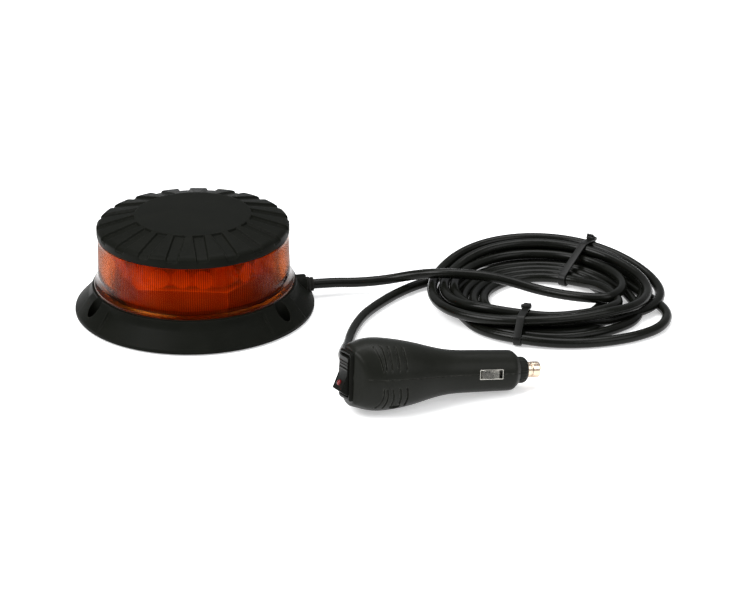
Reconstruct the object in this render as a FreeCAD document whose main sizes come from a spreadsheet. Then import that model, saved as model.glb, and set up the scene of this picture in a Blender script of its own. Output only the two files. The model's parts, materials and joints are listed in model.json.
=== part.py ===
import FreeCAD, Part
import Sketcher
import math
import os
from FreeCAD import Placement, Rotation, Vector

# Magnetic amber LED beacon on a coiled cord with a switched 12 V plug. Millimetres.
# Origin: middle of the beacon's underside, +Z up. The cord lies towards +X.

sizes = {
    # beacon base
    "flange_radius": 65.0, "rim_bottom": 0.3, "rim_top": 3.0, "crease_radius": 57.0, "crease_top": 10.6,
    "seat_radius": 55.3, "seat_top": 15.2, "cavity_radius": 50.5, "floor_bottom": 2.0, "floor_top": 4.0,
    "recess_radius": 52.2, "pad_radius": 52.0, "boss_radius": 64.6, "boss_shoulder": 14.6,
    "bolt_circle": 58.0, "bolt_hole": 2.6, "pocket_radius": 4.3, "pocket_floor": 3.2,
    "magnet_circle": 34.0, "magnet_radius": 11.0, "magnet_thick": 5.0, "cup_radius": 13.0, "cup_top": 9.0,
    "screw_circle": 39.0, "post_radius": 4.0, "screw_radius": 1.7, "head_radius": 3.2, "head_tall": 2.2,
    "screw_top": 47.5, "gland_height": 7.0, "gland_radius": 4.7, "gland_inner": 50.0, "gland_outer": 65.6,
    # lens and cap
    "lens_foot": 15.6, "foot_radius": 54.3, "foot_top": 17.2, "lens_waist": 52.0, "waist_height": 21.0,
    "lens_radius": 51.5, "lens_top": 43.4, "lens_bore": 49.0, "cap_bottom": 43.9, "cap_radius": 52.0,
    "cap_shoulder": 48.1, "cap_edge": 50.3, "edge_height": 49.7, "disc_radius": 31.0, "cap_top": 54.6,
    "lip_radius": 48.7, "lip_bore": 46.7, "lip_bottom": 41.9, "roof_edge": 46.8, "roof_height": 52.0,
    "groove_width": 6.0, "groove_deep": 1.6, "groove_shallow": 1.0, "groove_count": 20.0,
    # light engine
    "skirt_across": 47.5, "skirt_top": 27.2, "core_across": 42.0, "core_top": 42.6, "core_bore": 36.1,
    "board_radius": 35.6, "board_thick": 1.6, "light_board_width": 35.0, "light_board_bottom": 28.2,
    "light_board_tall": 13.2, "emitter_side": 5.0, "emitter_thick": 1.2, "optic_base": 3.0,
    "optic_mouth": 5.2, "optic_long": 5.0, "optic_pitch": 11.6,
    # cord
    "cord_radius": 2.75, "coil_x": 188.0, "coil_y": 3.0, "tie_width": 4.0, "tie_thick": 1.1,
    # plug, along its own axis from the rear face
    "rear_radius": 15.4, "shoulder_at": 8.0, "shoulder_radius": 18.2, "belly_at": 31.0,
    "belly_radius": 16.4, "neck_at": 47.0, "neck_radius": 12.45, "barrel_at": 57.0,
    "barrel_radius": 10.95, "lip_at": 87.0, "front_radius": 10.3, "plug_front": 90.0, "bevel_radius": 7.9,
    "wall_at": 2.6, "cave_radius": 15.2, "cave_end": 31.0, "tube_at": 50.0, "tube_radius": 8.3,
    "tube_end": 86.0, "mouth_radius": 5.6, "ring_radius": 6.8, "ring_front": 95.5, "spigot_back": 84.5,
    "ring_bore": 4.25, "tip_radius": 4.1, "tip_front": 102.5, "tip_collar": 5.3, "collar_thick": 1.5,
    "fuse_radius": 3.1, "fuse_long": 28.0, "spring_radius": 3.4, "spring_long": 9.0,
    "window_at": 73.0, "window_long": 12.6, "window_tall": 5.0, "contact_rise": 11.9,
    "bezel_tall": 25.0, "bezel_wide": 17.0, "bezel_thick": 1.8, "case_tall": 22.4, "case_wide": 15.2,
    "case_deep": 13.0, "slot_tall": 20.7, "slot_wide": 13.6, "rocker_wide": 13.0, "rocker_reach": 10.0,
    "pivot_at": 1.0, "pin_radius": 0.95, "rocker_tilt": 11.0, "grip_deep": 0.7, "grip_wide": 1.4,
    "grip_pitch": 4.0, "shell_screw_at": 22.0, "shell_screw_side": 9.6,
}
pocket_angles = (207.0, 327.0, 87.0)
screw_angles = (115.0, 235.0, 355.0)
magnet_angles = (55.0, 175.0, 295.0)
gland_angle = 13.0
core_turn = 55.0
facets = 6

plug_origin = Vector(84.5, -131.3, 20.45)
plug_rotation = Rotation(18.2, 6.65, -13.0)
plug_place = Placement(plug_origin, plug_rotation)

doc = FreeCAD.newDocument("beacon")
sheet = doc.addObject("Spreadsheet::Sheet", "sizes")
for row, (alias, number) in enumerate(sizes.items(), start=1):
    sheet.set("A%d" % row, alias)
    sheet.set("B%d" % row, str(number))
    sheet.setAlias("B%d" % row, alias)
doc.recompute()
subparts = []


def amount(formula):
    """Value of a sum of sheet names and numbers, such as 'cap_top - 2.4'."""
    total = 0.0
    sign = 1.0
    for word in formula.split():
        if word in ("+", "-"):
            sign = 1.0 if word == "+" else -1.0
        else:
            total += sign * (float(sheet.get(word)) if word in sizes else float(word))
    return total


def bound(formula):
    """The same sum as an expression on the sheet."""
    return " ".join("sizes." + word if word in sizes else word for word in formula.split())


def bind(item, **formulas):
    for name, formula in formulas.items():
        item.setExpression(name, bound(formula))


def keep(item, label, place=Placement()):
    item.Label = label
    item.Placement = place
    subparts.append(item)
    return item


def start_body(label):
    return doc.addObject("PartDesign::Body", label + "_body")


def origin_feature(body, role):
    return [item for item in body.Origin.OriginFeatures if item.Role == role][0]


def start_sketch(body, role, offset=Placement()):
    sketch = body.newObject("Sketcher::SketchObject", body.Name + "_outline")
    sketch.AttachmentSupport = [(origin_feature(body, role), "")]
    sketch.MapMode = "FlatFace"
    sketch.AttachmentOffset = offset
    return sketch


def flat_arc(start, end, radius):
    """Short arc of an outline; a positive radius bulges to the right of start to end."""
    chord = end - start
    left = Vector(-chord.y, chord.x, 0).normalize()
    rise = math.sqrt(radius ** 2 - (chord.Length / 2) ** 2)
    centre = (start + end) / 2 + left * math.copysign(rise, radius)
    first, last = (start, end) if radius > 0 else (end, start)
    circle = Part.Circle(centre, Vector(0, 0, 1), abs(radius))
    return Part.ArcOfCircle(circle, circle.parameter(first), circle.parameter(last))


def draw_outline(sketch, corners, bends=None):
    """Closed outline through corners given as formula pairs; bends maps an edge to its arc radius."""
    bends = bends or {}
    points = [Vector(amount(x), amount(y), 0) for x, y in corners]
    count = len(points)
    starts = []
    ends = []
    for edge, start in enumerate(points):
        end = points[(edge + 1) % count]
        if edge in bends:
            number = sketch.addGeometry(flat_arc(start, end, bends[edge]))
            forward = bends[edge] > 0
            starts.append((number, 1 if forward else 2))
            ends.append((number, 2 if forward else 1))
            sketch.addConstraint(Sketcher.Constraint("Radius", number, abs(bends[edge])))
        else:
            number = sketch.addGeometry(Part.LineSegment(start, end))
            starts.append((number, 1))
            ends.append((number, 2))
    for edge, (formula_x, formula_y) in enumerate(corners):
        sketch.addConstraint(Sketcher.Constraint("Coincident", *ends[edge - 1], *starts[edge]))
        for kind, axis, formula in (("DistanceX", -2, formula_x), ("DistanceY", -1, formula_y)):
            value = amount(formula)
            if value == 0:
                sketch.addConstraint(Sketcher.Constraint("PointOnObject", *starts[edge], axis))
            else:
                limit = sketch.addConstraint(Sketcher.Constraint(kind, -1, 1, *starts[edge], value))
                sketch.setExpression("Constraints[%d]" % limit, bound(formula))


def revolve(body, sketch, axis="V_Axis", kind="PartDesign::Revolution", degrees=360.0):
    feature = body.newObject(kind, body.Name + "_turn")
    feature.Profile = sketch
    feature.ReferenceAxis = (sketch, [axis])
    feature.Angle = degrees
    sketch.Visibility = False
    doc.recompute()
    return feature


def polar_place(angle, radius, height=0.0):
    turn = Rotation(Vector(0, 0, 1), angle)
    return Placement(turn.multVec(Vector(radius, 0, height)), turn)


def body_cylinder(body, kind, place, **formulas):
    feature = body.newObject("PartDesign::%sCylinder" % kind, body.Name + "_round")
    feature.AttachmentSupport = [(origin_feature(body, "XY_Plane"), "")]
    feature.MapMode = "FlatFace"
    feature.AttachmentOffset = place
    bind(feature, **formulas)
    return feature


def body_box(body, kind, place, **formulas):
    feature = body.newObject("PartDesign::%sBox" % kind, body.Name + "_block")
    feature.AttachmentSupport = [(origin_feature(body, "XY_Plane"), "")]
    feature.MapMode = "FlatFace"
    feature.AttachmentOffset = place
    bind(feature, **formulas)
    return feature


def repeat_round(body, feature, count):
    """Spread one feature evenly round the body's vertical axis."""
    doc.recompute()
    pattern = body.newObject("PartDesign::PolarPattern", body.Name + "_ring")
    pattern.Originals = [feature]
    pattern.Axis = (origin_feature(body, "Z_Axis"), [""])
    pattern.Angle = 360.0
    pattern.Occurrences = count
    body.Tip = pattern
    doc.recompute()
    return pattern


def solid_cylinder(label, place=Placement(), **formulas):
    item = doc.addObject("Part::Cylinder", label)
    bind(item, **formulas)
    item.Placement = place
    return item


def solid_box(label, place=Placement(), **formulas):
    item = doc.addObject("Part::Box", label)
    bind(item, **formulas)
    item.Placement = place
    return item


def cut(label, base, tool):
    item = doc.addObject("Part::Cut", label)
    item.Base = base
    item.Tool = tool
    return item


def group(label, items):
    """Separate solids that share one node, such as a set of equal screws."""
    item = doc.addObject("Part::Compound", label)
    item.Links = items
    return item


def ring(label, outer, inner, height, place):
    outside = solid_cylinder(label + "_outside", place, Radius=outer, Height=height)
    inside = solid_cylinder(label + "_inside", place, Radius=inner, Height=height)
    return cut(label, outside, inside)


# ---------------------------------------------------------------- beacon base


def make_base_housing():
    body = start_body("base_housing")
    sketch = start_sketch(body, "XZ_Plane")
    draw_outline(sketch, [
        ("0", "floor_bottom"), ("recess_radius", "floor_bottom"), ("recess_radius", "rim_bottom"),
        ("flange_radius - 0.6", "rim_bottom"), ("flange_radius", "rim_bottom + 0.6"),
        ("flange_radius", "rim_top - 0.4"), ("flange_radius - 0.5", "rim_top"),
        ("crease_radius", "crease_top"), ("seat_radius", "seat_top"), ("cavity_radius", "seat_top"),
        ("cavity_radius", "floor_top"), ("0", "floor_top"),
    ])
    revolve(body, sketch)
    # raised land round each fixing pocket
    for angle in pocket_angles:
        place = Placement(Vector(), Rotation(Vector(0, 1, 0), 13.0 - angle))
        land = start_sketch(body, "XZ_Plane", place)
        draw_outline(land, [
            ("crease_radius - 5", "rim_bottom + 1"), ("boss_radius", "rim_bottom + 1"),
            ("boss_radius", "rim_top"), ("crease_radius + 0.6", "boss_shoulder - 2.4"),
            ("seat_radius", "boss_shoulder"), ("crease_radius - 5", "boss_shoulder"),
        ])
        revolve(body, land, degrees=26.0)
    for angle in magnet_angles:
        body_cylinder(body, "Additive", polar_place(angle, sizes["magnet_circle"], sizes["floor_bottom"]),
                      Radius="cup_radius", Height="cup_top - floor_bottom")
        body_cylinder(body, "Subtractive", polar_place(angle, sizes["magnet_circle"]),
                      Radius="magnet_radius", Height="floor_bottom + magnet_thick")
    for angle in screw_angles:
        body_cylinder(body, "Additive", polar_place(angle, sizes["screw_circle"], sizes["floor_bottom"]),
                      Radius="post_radius + 0.6", Height="cup_top - floor_bottom")
        body_cylinder(body, "Subtractive", polar_place(angle, sizes["screw_circle"]),
                      Radius="head_radius", Height="floor_bottom + head_tall")
        body_cylinder(body, "Subtractive", polar_place(angle, sizes["screw_circle"]),
                      Radius="screw_radius", Height="cup_top + 1")
    for angle in pocket_angles:
        body_cylinder(body, "Subtractive", polar_place(angle, sizes["bolt_circle"], sizes["pocket_floor"]),
                      Radius="pocket_radius", Height="boss_shoulder - pocket_floor - 0.8")
        body_cylinder(body, "Subtractive", polar_place(angle, sizes["bolt_circle"]),
                      Radius="bolt_hole", Height="boss_shoulder")
    # boss and bore for the cord gland
    outward = Rotation(Vector(0, 0, 1), gland_angle) * Rotation(Vector(0, 1, 0), 90.0)
    direction = Rotation(Vector(0, 0, 1), gland_angle).multVec(Vector(1, 0, 0))
    height = Vector(0, 0, sizes["gland_height"])
    start = direction * sizes["cavity_radius"]
    body_cylinder(body, "Additive", Placement(start + height + direction * 1.5, outward),
                  Radius="gland_radius + 1.3", Height="flange_radius - cavity_radius - 5.5")
    body_cylinder(body, "Subtractive", Placement(start - direction * 2 + height, outward),
                  Radius="gland_radius", Height="flange_radius - cavity_radius + 6")
    return keep(body, "base_housing")


def make_base_pad():
    disc = solid_cylinder("pad_disc", Radius="pad_radius", Height="floor_bottom")
    rounded = doc.addObject("Part::Chamfer", "base_pad")
    rounded.Base = disc
    doc.recompute()
    rims = [index for index, edge in enumerate(disc.Shape.Edges, start=1)
            if edge.Length > 100 and abs(edge.CenterOfMass.z) < 0.01]
    rounded.Edges = [(index, 0.5, 0.5) for index in rims]
    return keep(rounded, "base_pad")


def make_magnet(number, angle):
    place = polar_place(angle, sizes["magnet_circle"], sizes["floor_bottom"])
    disc = solid_cylinder("magnet_disc_%d" % number, Radius="magnet_radius", Height="magnet_thick")
    return keep(disc, "base_magnet_%d" % number, place)


def make_cap_screws():
    screws = []
    for angle in screw_angles:
        place = polar_place(angle, sizes["screw_circle"], sizes["floor_bottom"])
        head = solid_cylinder("screw_head", place, Radius="head_radius", Height="head_tall")
        shank = solid_cylinder("screw_shank", place, Radius="screw_radius", Height="screw_top - floor_bottom")
        screw = doc.addObject("Part::Fuse", "cap_screw")
        screw.Base = head
        screw.Tool = shank
        screws.append(screw)
    return keep(group("cap_screw_set", screws), "cap_screws")


def make_cord_grommet():
    body = start_body("cord_grommet")
    sketch = start_sketch(body, "XY_Plane")
    draw_outline(sketch, [
        ("gland_inner", "cord_radius"), ("gland_outer", "cord_radius"),
        ("gland_outer", "cord_radius + 1.1"), ("flange_radius - 4.5", "gland_radius"),
        ("gland_inner", "gland_radius"),
    ])
    revolve(body, sketch, "H_Axis")
    place = Placement(Vector(0, 0, sizes["gland_height"]), Rotation(Vector(0, 0, 1), gland_angle))
    return keep(body, "cord_grommet", place)


# ---------------------------------------------------------------- lens and cap


def make_lower_seal():
    return keep(ring("lower_ring", "seat_radius - 1.2", "cavity_radius + 0.6", "lens_foot - seat_top",
                     Placement(Vector(0, 0, sizes["seat_top"]), Rotation())), "lower_seal")


def make_upper_seal():
    return keep(ring("upper_ring", "lens_radius - 0.4", "lens_bore + 0.3", "cap_bottom - lens_top",
                     Placement(Vector(0, 0, sizes["lens_top"]), Rotation())), "upper_seal")


def make_lens():
    body = start_body("lens")
    sketch = start_sketch(body, "XZ_Plane")
    draw_outline(sketch, [
        ("lens_bore", "lens_foot"), ("foot_radius", "lens_foot"), ("foot_radius", "foot_top"),
        ("lens_waist", "waist_height"), ("lens_radius", "lens_top"), ("lens_bore", "lens_top"),
    ], {2: -9.0})
    revolve(body, sketch)
    return keep(body, "lens")


def make_top_cap():
    body = start_body("top_cap")
    sketch = start_sketch(body, "XZ_Plane")
    draw_outline(sketch, [
        ("0", "roof_height"), ("disc_radius - 0.4", "roof_height"), ("lip_bore", "roof_edge"),
        ("lip_bore", "lip_bottom"), ("lip_radius", "lip_bottom"), ("lip_radius", "cap_bottom"),
        ("cap_radius", "cap_bottom"), ("cap_radius", "cap_shoulder"), ("cap_edge", "edge_height"),
        ("disc_radius", "cap_top"), ("0", "cap_top"),
    ], {7: 1.8})
    revolve(body, sketch)
    # radial grooves fall with the cap's slope and run out through its edge
    slot = start_sketch(body, "XZ_Plane")
    draw_outline(slot, [
        ("disc_radius", "cap_top - groove_deep"), ("cap_radius + 3", "edge_height - groove_shallow - 0.9"),
        ("cap_radius + 3", "cap_top + 2"), ("disc_radius", "cap_top + 2"),
    ])
    groove = body.newObject("PartDesign::Pocket", "cap_groove")
    groove.Profile = slot
    groove.Midplane = True
    bind(groove, Length="groove_width")
    slot.Visibility = False
    repeat_round(body, groove, int(sizes["groove_count"]))
    for angle in screw_angles:
        body_cylinder(body, "Additive", polar_place(angle, sizes["screw_circle"], sizes["core_top"]),
                      Radius="post_radius", Height="roof_edge - core_top + 3")
        body_cylinder(body, "Subtractive", polar_place(angle, sizes["screw_circle"], 40.0),
                      Radius="screw_radius", Height="screw_top - 40")
    return keep(body, "top_cap", Placement(Vector(), Rotation()))


# ---------------------------------------------------------------- light engine


def hexagon(label, across, bottom, top):
    prism = doc.addObject("Part::Prism", label)
    prism.Polygon = facets
    bind(prism, Circumradius=across, Height=top + " - " + bottom)
    prism.Placement = Placement(Vector(0, 0, amount(bottom)), Rotation(Vector(0, 0, 1), core_turn))
    return prism


def make_light_core():
    skirt = hexagon("core_skirt", "skirt_across", "cup_top", "skirt_top")
    tower = hexagon("core_tower", "core_across", "skirt_top", "core_top")
    block = doc.addObject("Part::Fuse", "core_block")
    block.Base = skirt
    block.Tool = tower
    bores = [solid_cylinder("core_bore", Radius="core_bore", Height="core_top + 5")]
    bores += [solid_cylinder("core_hole", polar_place(angle, sizes["screw_circle"]),
                             Radius="screw_radius", Height="core_top + 5") for angle in screw_angles]
    tools = doc.addObject("Part::MultiFuse", "core_tools")
    tools.Shapes = bores
    return keep(cut("core_cut", block, tools), "light_core")


def facet_place(number, out, height):
    """Middle of a facet of the hexagonal core, +X outwards, at a distance out from its axis."""
    angle = core_turn + (number + 0.5) * 360.0 / facets
    return polar_place(angle, out, height)


def make_light_facet(number):
    """One LED board with its three emitters and three collimators."""
    apothem = sizes["core_across"] * math.cos(math.pi / facets)
    bottom = sizes["light_board_bottom"]
    middle = bottom + sizes["light_board_tall"] / 2
    board = solid_box("light_board_box", Length="board_thick", Width="light_board_width",
                      Height="light_board_tall")
    place = facet_place(number, apothem, bottom)
    shift = Placement(Vector(0, -sizes["light_board_width"] / 2, 0), Rotation())
    keep(board, "light_board_%d" % (number + 1), place * shift)
    emitters = []
    optics = []
    half = sizes["emitter_side"] / 2
    for step in (-1, 0, 1):
        across = step * sizes["optic_pitch"]
        face = sizes["board_thick"]
        emitters.append(solid_box("emitter", Placement(Vector(face, across - half, -half), Rotation()),
                                  Length="emitter_thick", Width="emitter_side", Height="emitter_side"))
        cone = doc.addObject("Part::Cone", "optic")
        bind(cone, Radius1="optic_base", Radius2="optic_mouth", Height="optic_long")
        cone.Placement = Placement(Vector(face + sizes["emitter_thick"], across, 0),
                                   Rotation(Vector(0, 1, 0), 90))
        optics.append(cone)
    centre = facet_place(number, apothem, middle)
    keep(group("emitter_row", emitters), "light_emitters_%d" % (number + 1), centre)
    keep(group("optic_row", optics), "light_optics_%d" % (number + 1), centre)


def make_driver_board():
    disc = solid_cylinder("driver_disc", Radius="board_radius", Height="board_thick")
    return keep(disc, "driver_board", Placement(Vector(0, 0, sizes["cup_top"]), Rotation()))


def make_driver_parts():
    """Choke, capacitors and power chips on the driver board."""
    top = sizes["cup_top"] + sizes["board_thick"]
    choke = doc.addObject("Part::Torus", "choke")
    choke.Radius1 = 6.5
    choke.Radius2 = 3.0
    choke.Placement = Placement(Vector(-12, 8, top + 3.0), Rotation())
    parts = [choke]
    for x, y, radius, tall in ((14, 12, 4, 11), (14, -2, 4, 11), (2, 20, 3.15, 8)):
        item = doc.addObject("Part::Cylinder", "capacitor")
        item.Radius = radius
        item.Height = tall
        item.Placement = Placement(Vector(x, y, top), Rotation())
        parts.append(item)
    for x, y, long, wide in ((-22, -10, 9, 7), (-8, -20, 6, 5), (6, -20, 10, 9)):
        item = doc.addObject("Part::Box", "chip")
        item.Length = long
        item.Width = wide
        item.Height = 1.8
        item.Placement = Placement(Vector(x, y, top), Rotation())
        parts.append(item)
    return keep(group("driver_set", parts), "driver_parts")


# ---------------------------------------------------------------- cord

# route of each uncoiled stretch, from the gland or plug to the coil
gland_route = [
    (57.5, 13.3, 7.0), (74.0, 17.1, 6.9), (87.5, 18.6, 6.1), (103.5, 20.2, 6.9), (118.0, 17.4, 10.4),
    (131.0, 11.6, 14.0), (146.0, 8.9, 15.2), (160.0, 8.4, 14.2), (172.5, 7.6, 11.4), (185.0, 4.0, 8.6),
    (198.0, -1.6, 7.6), (209.5, -6.2, 7.8), (219.0, -9.0, 7.6),
]
plug_route = [
    (87.6, -104.6, 13.4), (83.0, -91.8, 10.3), (81.2, -80.0, 7.4), (81.9, -68.0, 4.8), (84.0, -56.0, 3.1),
    (85.2, -44.0, 2.9), (87.9, -31.0, 2.9), (92.2, -17.5, 2.9), (99.6, -4.0, 2.9), (109.0, 9.8, 2.9),
    (119.0, 21.0, 3.0), (130.0, 28.5, 3.3),
]


def route_wire(points):
    """Straight runs joined by tangent arcs, each as large as its two runs allow."""
    points = [Vector(*point) for point in points]
    edges = []
    radii = []
    start = points[0]
    for before, corner, after in zip(points, points[1:], points[2:]):
        back = (before - corner).normalize()
        ahead = (after - corner).normalize()
        turn = math.pi - back.getAngle(ahead)
        shorter = min((before - corner).Length, (after - corner).Length)
        reach = 0.45 * shorter
        radius = reach / math.tan(turn / 2)
        enter = corner + back * reach
        leave = corner + ahead * reach
        middle = (back + ahead).normalize()
        summit = corner + middle * (radius / math.cos(turn / 2) - radius)
        edges.append(Part.LineSegment(start, enter).toShape())
        edges.append(Part.Arc(enter, summit, leave).toShape())
        start = leave
        radii.append(radius)
    edges.append(Part.LineSegment(start, points[-1]).toShape())
    return Part.Wire(edges), radii


def make_lead(label, points):
    radius = float(sheet.get("cord_radius"))
    wire, radii = route_wire(points)
    heading = wire.Edges[0].tangentAt(wire.Edges[0].FirstParameter)
    section = Part.Wire(Part.makeCircle(radius, Vector(*points[0]), heading))
    item = doc.addObject("Part::Feature", label)
    item.Shape = wire.makePipeShell([section], True, True)
    expected = math.pi * radius ** 2 * wire.Length
    print(label, "length", round(wire.Length, 1), "volume ratio", round(item.Shape.Volume / expected, 4))
    print(label, "radii", [round(value, 1) for value in radii])
    return keep(item, label)


# the coil's band round its middle, every 15 degrees: inner radius, outer radius, bottom, top
coil_band = [
    (30.0, 63.5, 0.8, 14.5), (28.5, 62.5, 0.8, 14.3), (27.5, 61.5, 0.8, 14.5), (27.0, 61.0, 1.0, 15.6),
    (27.0, 61.0, 1.2, 16.6), (26.0, 63.0, 1.0, 16.4), (24.5, 65.5, 0.8, 16.0), (24.5, 66.5, 0.8, 15.2),
    (25.0, 66.5, 0.8, 14.0), (26.0, 66.0, 0.8, 12.2), (27.0, 65.0, 0.8, 10.6), (28.0, 64.0, 0.8, 9.9),
    (28.0, 63.0, 0.8, 9.8), (28.0, 62.5, 0.8, 10.3), (29.0, 62.5, 0.8, 11.8), (30.5, 62.5, 0.8, 13.6),
    (32.5, 61.5, 1.0, 15.4), (33.5, 60.5, 1.2, 16.4), (33.0, 62.0, 1.0, 15.6), (31.5, 64.5, 0.8, 14.4),
    (30.5, 66.5, 0.8, 13.6), (30.0, 68.5, 0.8, 13.0), (30.0, 69.0, 0.8, 13.0), (30.0, 66.5, 0.8, 13.6),
]
tie_angles = {"front": 255.0, "back": 60.0}


def band_section(angle, inner, outer, bottom, top):
    """Upright elliptical section of the coil, facing along its turn."""
    turn = Rotation(Vector(0, 0, 1), angle)
    centre = Vector(sizes["coil_x"], sizes["coil_y"], (bottom + top) / 2)
    centre += turn.multVec(Vector((inner + outer) / 2, 0, 0))
    edge = Part.Ellipse(Vector(), (outer - inner) / 2, (top - bottom) / 2).toShape()
    edge.Placement = Placement(centre, turn * Rotation(Vector(1, 0, 0), 90))
    return Part.Wire(edge)


def make_cord_coil():
    step = 360.0 / len(coil_band)
    sections = [band_section(index * step, *row) for index, row in enumerate(coil_band)]
    item = doc.addObject("Part::Feature", "cord_coil")
    item.Shape = Part.makeLoft(sections, True, False, True)
    return keep(item, "cord_coil")


def make_cable_tie(name, angle):
    """Band round the coil with its locking head and cut tail."""
    inner, outer, bottom, top = coil_band[int(angle * len(coil_band) / 360.0)]
    wide = (outer - inner) / 2
    tall = (top - bottom) / 2
    thick = float(sheet.get("tie_thick"))
    width = float(sheet.get("tie_width"))
    outside = Part.Face(Part.Wire(Part.Ellipse(Vector(), wide + thick, tall + thick).toShape()))
    inside = Part.Face(Part.Wire(Part.Ellipse(Vector(), wide, tall).toShape()))
    band = outside.cut(inside).extrude(Vector(0, 0, width))
    head = Part.makeBox(6.0, 4.0, width + 2.0, Vector(wide * 0.35 - 3.0, tall * 0.85, -1.0))
    tail = Part.makeBox(3.0, 4.4, 1.2, Vector(wide * 0.35 - 1.5, tall * 0.85 + 1.0, width + 1.0))
    core = inside.extrude(Vector(0, 0, width + 4.0))
    core.translate(Vector(0, 0, -2.0))
    shape = band.fuse([head, tail]).cut(core).removeSplitter()
    turn = Rotation(Vector(0, 0, 1), angle)
    centre = Vector(sizes["coil_x"], sizes["coil_y"], (bottom + top) / 2)
    centre += turn.multVec(Vector((inner + outer) / 2, width / 2, 0))
    item = doc.addObject("Part::Feature", "cable_tie_" + name)
    item.Shape = shape
    return keep(item, "cable_tie_" + name, Placement(centre, turn * Rotation(Vector(1, 0, 0), 90)))


# ---------------------------------------------------------------- plug
# Each piece is drawn along the plug's axis, +X to the tip, and laid down by plug_place.


def along(height=0.0, side=0.0, at=0.0, tilt=None):
    """Placement in the plug's own axes."""
    return Placement(Vector(at, side, height), tilt or Rotation())


to_tip = Rotation(Vector(0, 1, 0), 90.0)
to_side = Rotation(Vector(1, 0, 0), 90.0)


def shell_outline(sketch):
    draw_outline(sketch, [
        ("0", "0"), ("plug_front", "0"), ("plug_front", "bevel_radius"), ("lip_at", "front_radius"),
        ("barrel_at", "barrel_radius"), ("neck_at", "neck_radius"), ("belly_at", "belly_radius"),
        ("shoulder_at", "shoulder_radius"), ("0", "rear_radius"),
    ], {4: -34.0, 6: 73.0, 7: 10.0})


def cave_outline(sketch):
    draw_outline(sketch, [
        ("wall_at", "0"), ("plug_front + 1", "0"), ("plug_front + 1", "mouth_radius"),
        ("tube_end", "mouth_radius"), ("tube_end", "tube_radius"), ("tube_at", "tube_radius"),
        ("cave_end", "cave_radius - 2"), ("shoulder_at + 4", "cave_radius"), ("wall_at + 1.4", "cave_radius - 1.6"),
        ("wall_at", "cave_radius - 3"),
    ])


def make_shell(name, upper):
    """Half of the plug's moulded body, with its grip grooves, contact windows and screw posts."""
    body = start_body("shell_" + name)
    sign = 1.0 if upper else -1.0
    outside = start_sketch(body, "XY_Plane")
    shell_outline(outside)
    revolve(body, outside, "H_Axis", degrees=180.0).Reversed = not upper
    inside = start_sketch(body, "XY_Plane")
    cave_outline(inside)
    revolve(body, inside, "H_Axis", "PartDesign::Groove")
    for side in (-1, 1):
        body_cylinder(body, "Additive", along(0.0, side * sizes["shell_screw_side"],
                                              sizes["shell_screw_at"],
                                              Rotation() if upper else Rotation(Vector(1, 0, 0), 180)),
                      Radius="post_radius - 1", Height="shoulder_radius - 5.7")
        body_cylinder(body, "Subtractive", along(-20.0, side * sizes["shell_screw_side"],
                                                 sizes["shell_screw_at"]),
                      Radius="screw_radius - 0.4", Height="shoulder_radius + 11")
    if not upper:
        for side in (-1, 1):
            body_cylinder(body, "Subtractive", along(-20.0, side * sizes["shell_screw_side"],
                                                     sizes["shell_screw_at"]),
                          Radius="head_radius - 0.6", Height="8")
    window = along(-sizes["window_tall"] / 2, -14.0, sizes["window_at"] - sizes["window_long"] / 2)
    body_box(body, "Subtractive", window, Length="window_long", Width="28", Height="window_tall")
    case = along(-sizes["case_tall"] / 2, -sizes["case_wide"] / 2, -1.0)
    body_box(body, "Subtractive", case, Length="wall_at + 2.4", Width="case_wide", Height="case_tall")
    # curved grip grooves on both cheeks, left plain at the parting line
    for step in range(5):
        place = 9.0 + step * sizes["grip_pitch"]
        depth = sizes["grip_deep"]
        for start in (14.0, 121.0):
            lean = Placement(Vector(), Rotation(Vector(1, 0, 0), sign * start))
            grip = start_sketch(body, "XY_Plane", lean)
            width = sizes["grip_wide"] / 2
            level = 18.35 - 0.0035 * (place - 17.0) ** 2 - 0.02 * max(0.0, place - 19.0) ** 1.5
            draw_outline(grip, [
                (str(place - width * 0.4), str(round(level - depth, 3))),
                (str(place + width * 0.4), str(round(level - depth, 3))),
                (str(place + width), "shoulder_radius + 3"), (str(place - width), "shoulder_radius + 3"),
            ])
            revolve(body, grip, "H_Axis", "PartDesign::Groove", 45.0).Reversed = not upper
    # mouth for the cord's strain relief on the far cheek
    body_cylinder(body, "Subtractive", along(0.0, 10.0, 12.0, Rotation(Vector(1, 0, 0), -90)),
                  Radius="gland_radius", Height="12")
    return keep(body, "plug_shell_" + name, plug_place)


def make_shell_screws():
    screws = []
    for side in (-1, 1):
        place = along(-13.0, side * sizes["shell_screw_side"], sizes["shell_screw_at"])
        lower = along(-14.0, side * sizes["shell_screw_side"], sizes["shell_screw_at"])
        head = solid_cylinder("shell_screw_head", lower, Radius="head_radius - 0.7", Height="2")
        shank = solid_cylinder("shell_screw_shank", place, Radius="screw_radius - 0.4", Height="20")
        screw = doc.addObject("Part::Fuse", "shell_screw")
        screw.Base = head
        screw.Tool = shank
        screws.append(screw)
    return keep(group("shell_screw_set", screws), "plug_shell_screws", plug_place)


def make_strain_relief():
    body = start_body("strain_relief")
    sketch = start_sketch(body, "XY_Plane")
    draw_outline(sketch, [
        ("11", "cord_radius"), ("31", "cord_radius"), ("31", "cord_radius + 1"),
        ("17.6", "gland_radius"), ("11", "gland_radius"),
    ])
    revolve(body, sketch, "H_Axis")
    sideways = along(0.0, 0.0, 12.0, Rotation(Vector(0, 0, 1), 90))
    return keep(body, "strain_relief", plug_place * sideways)


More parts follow.
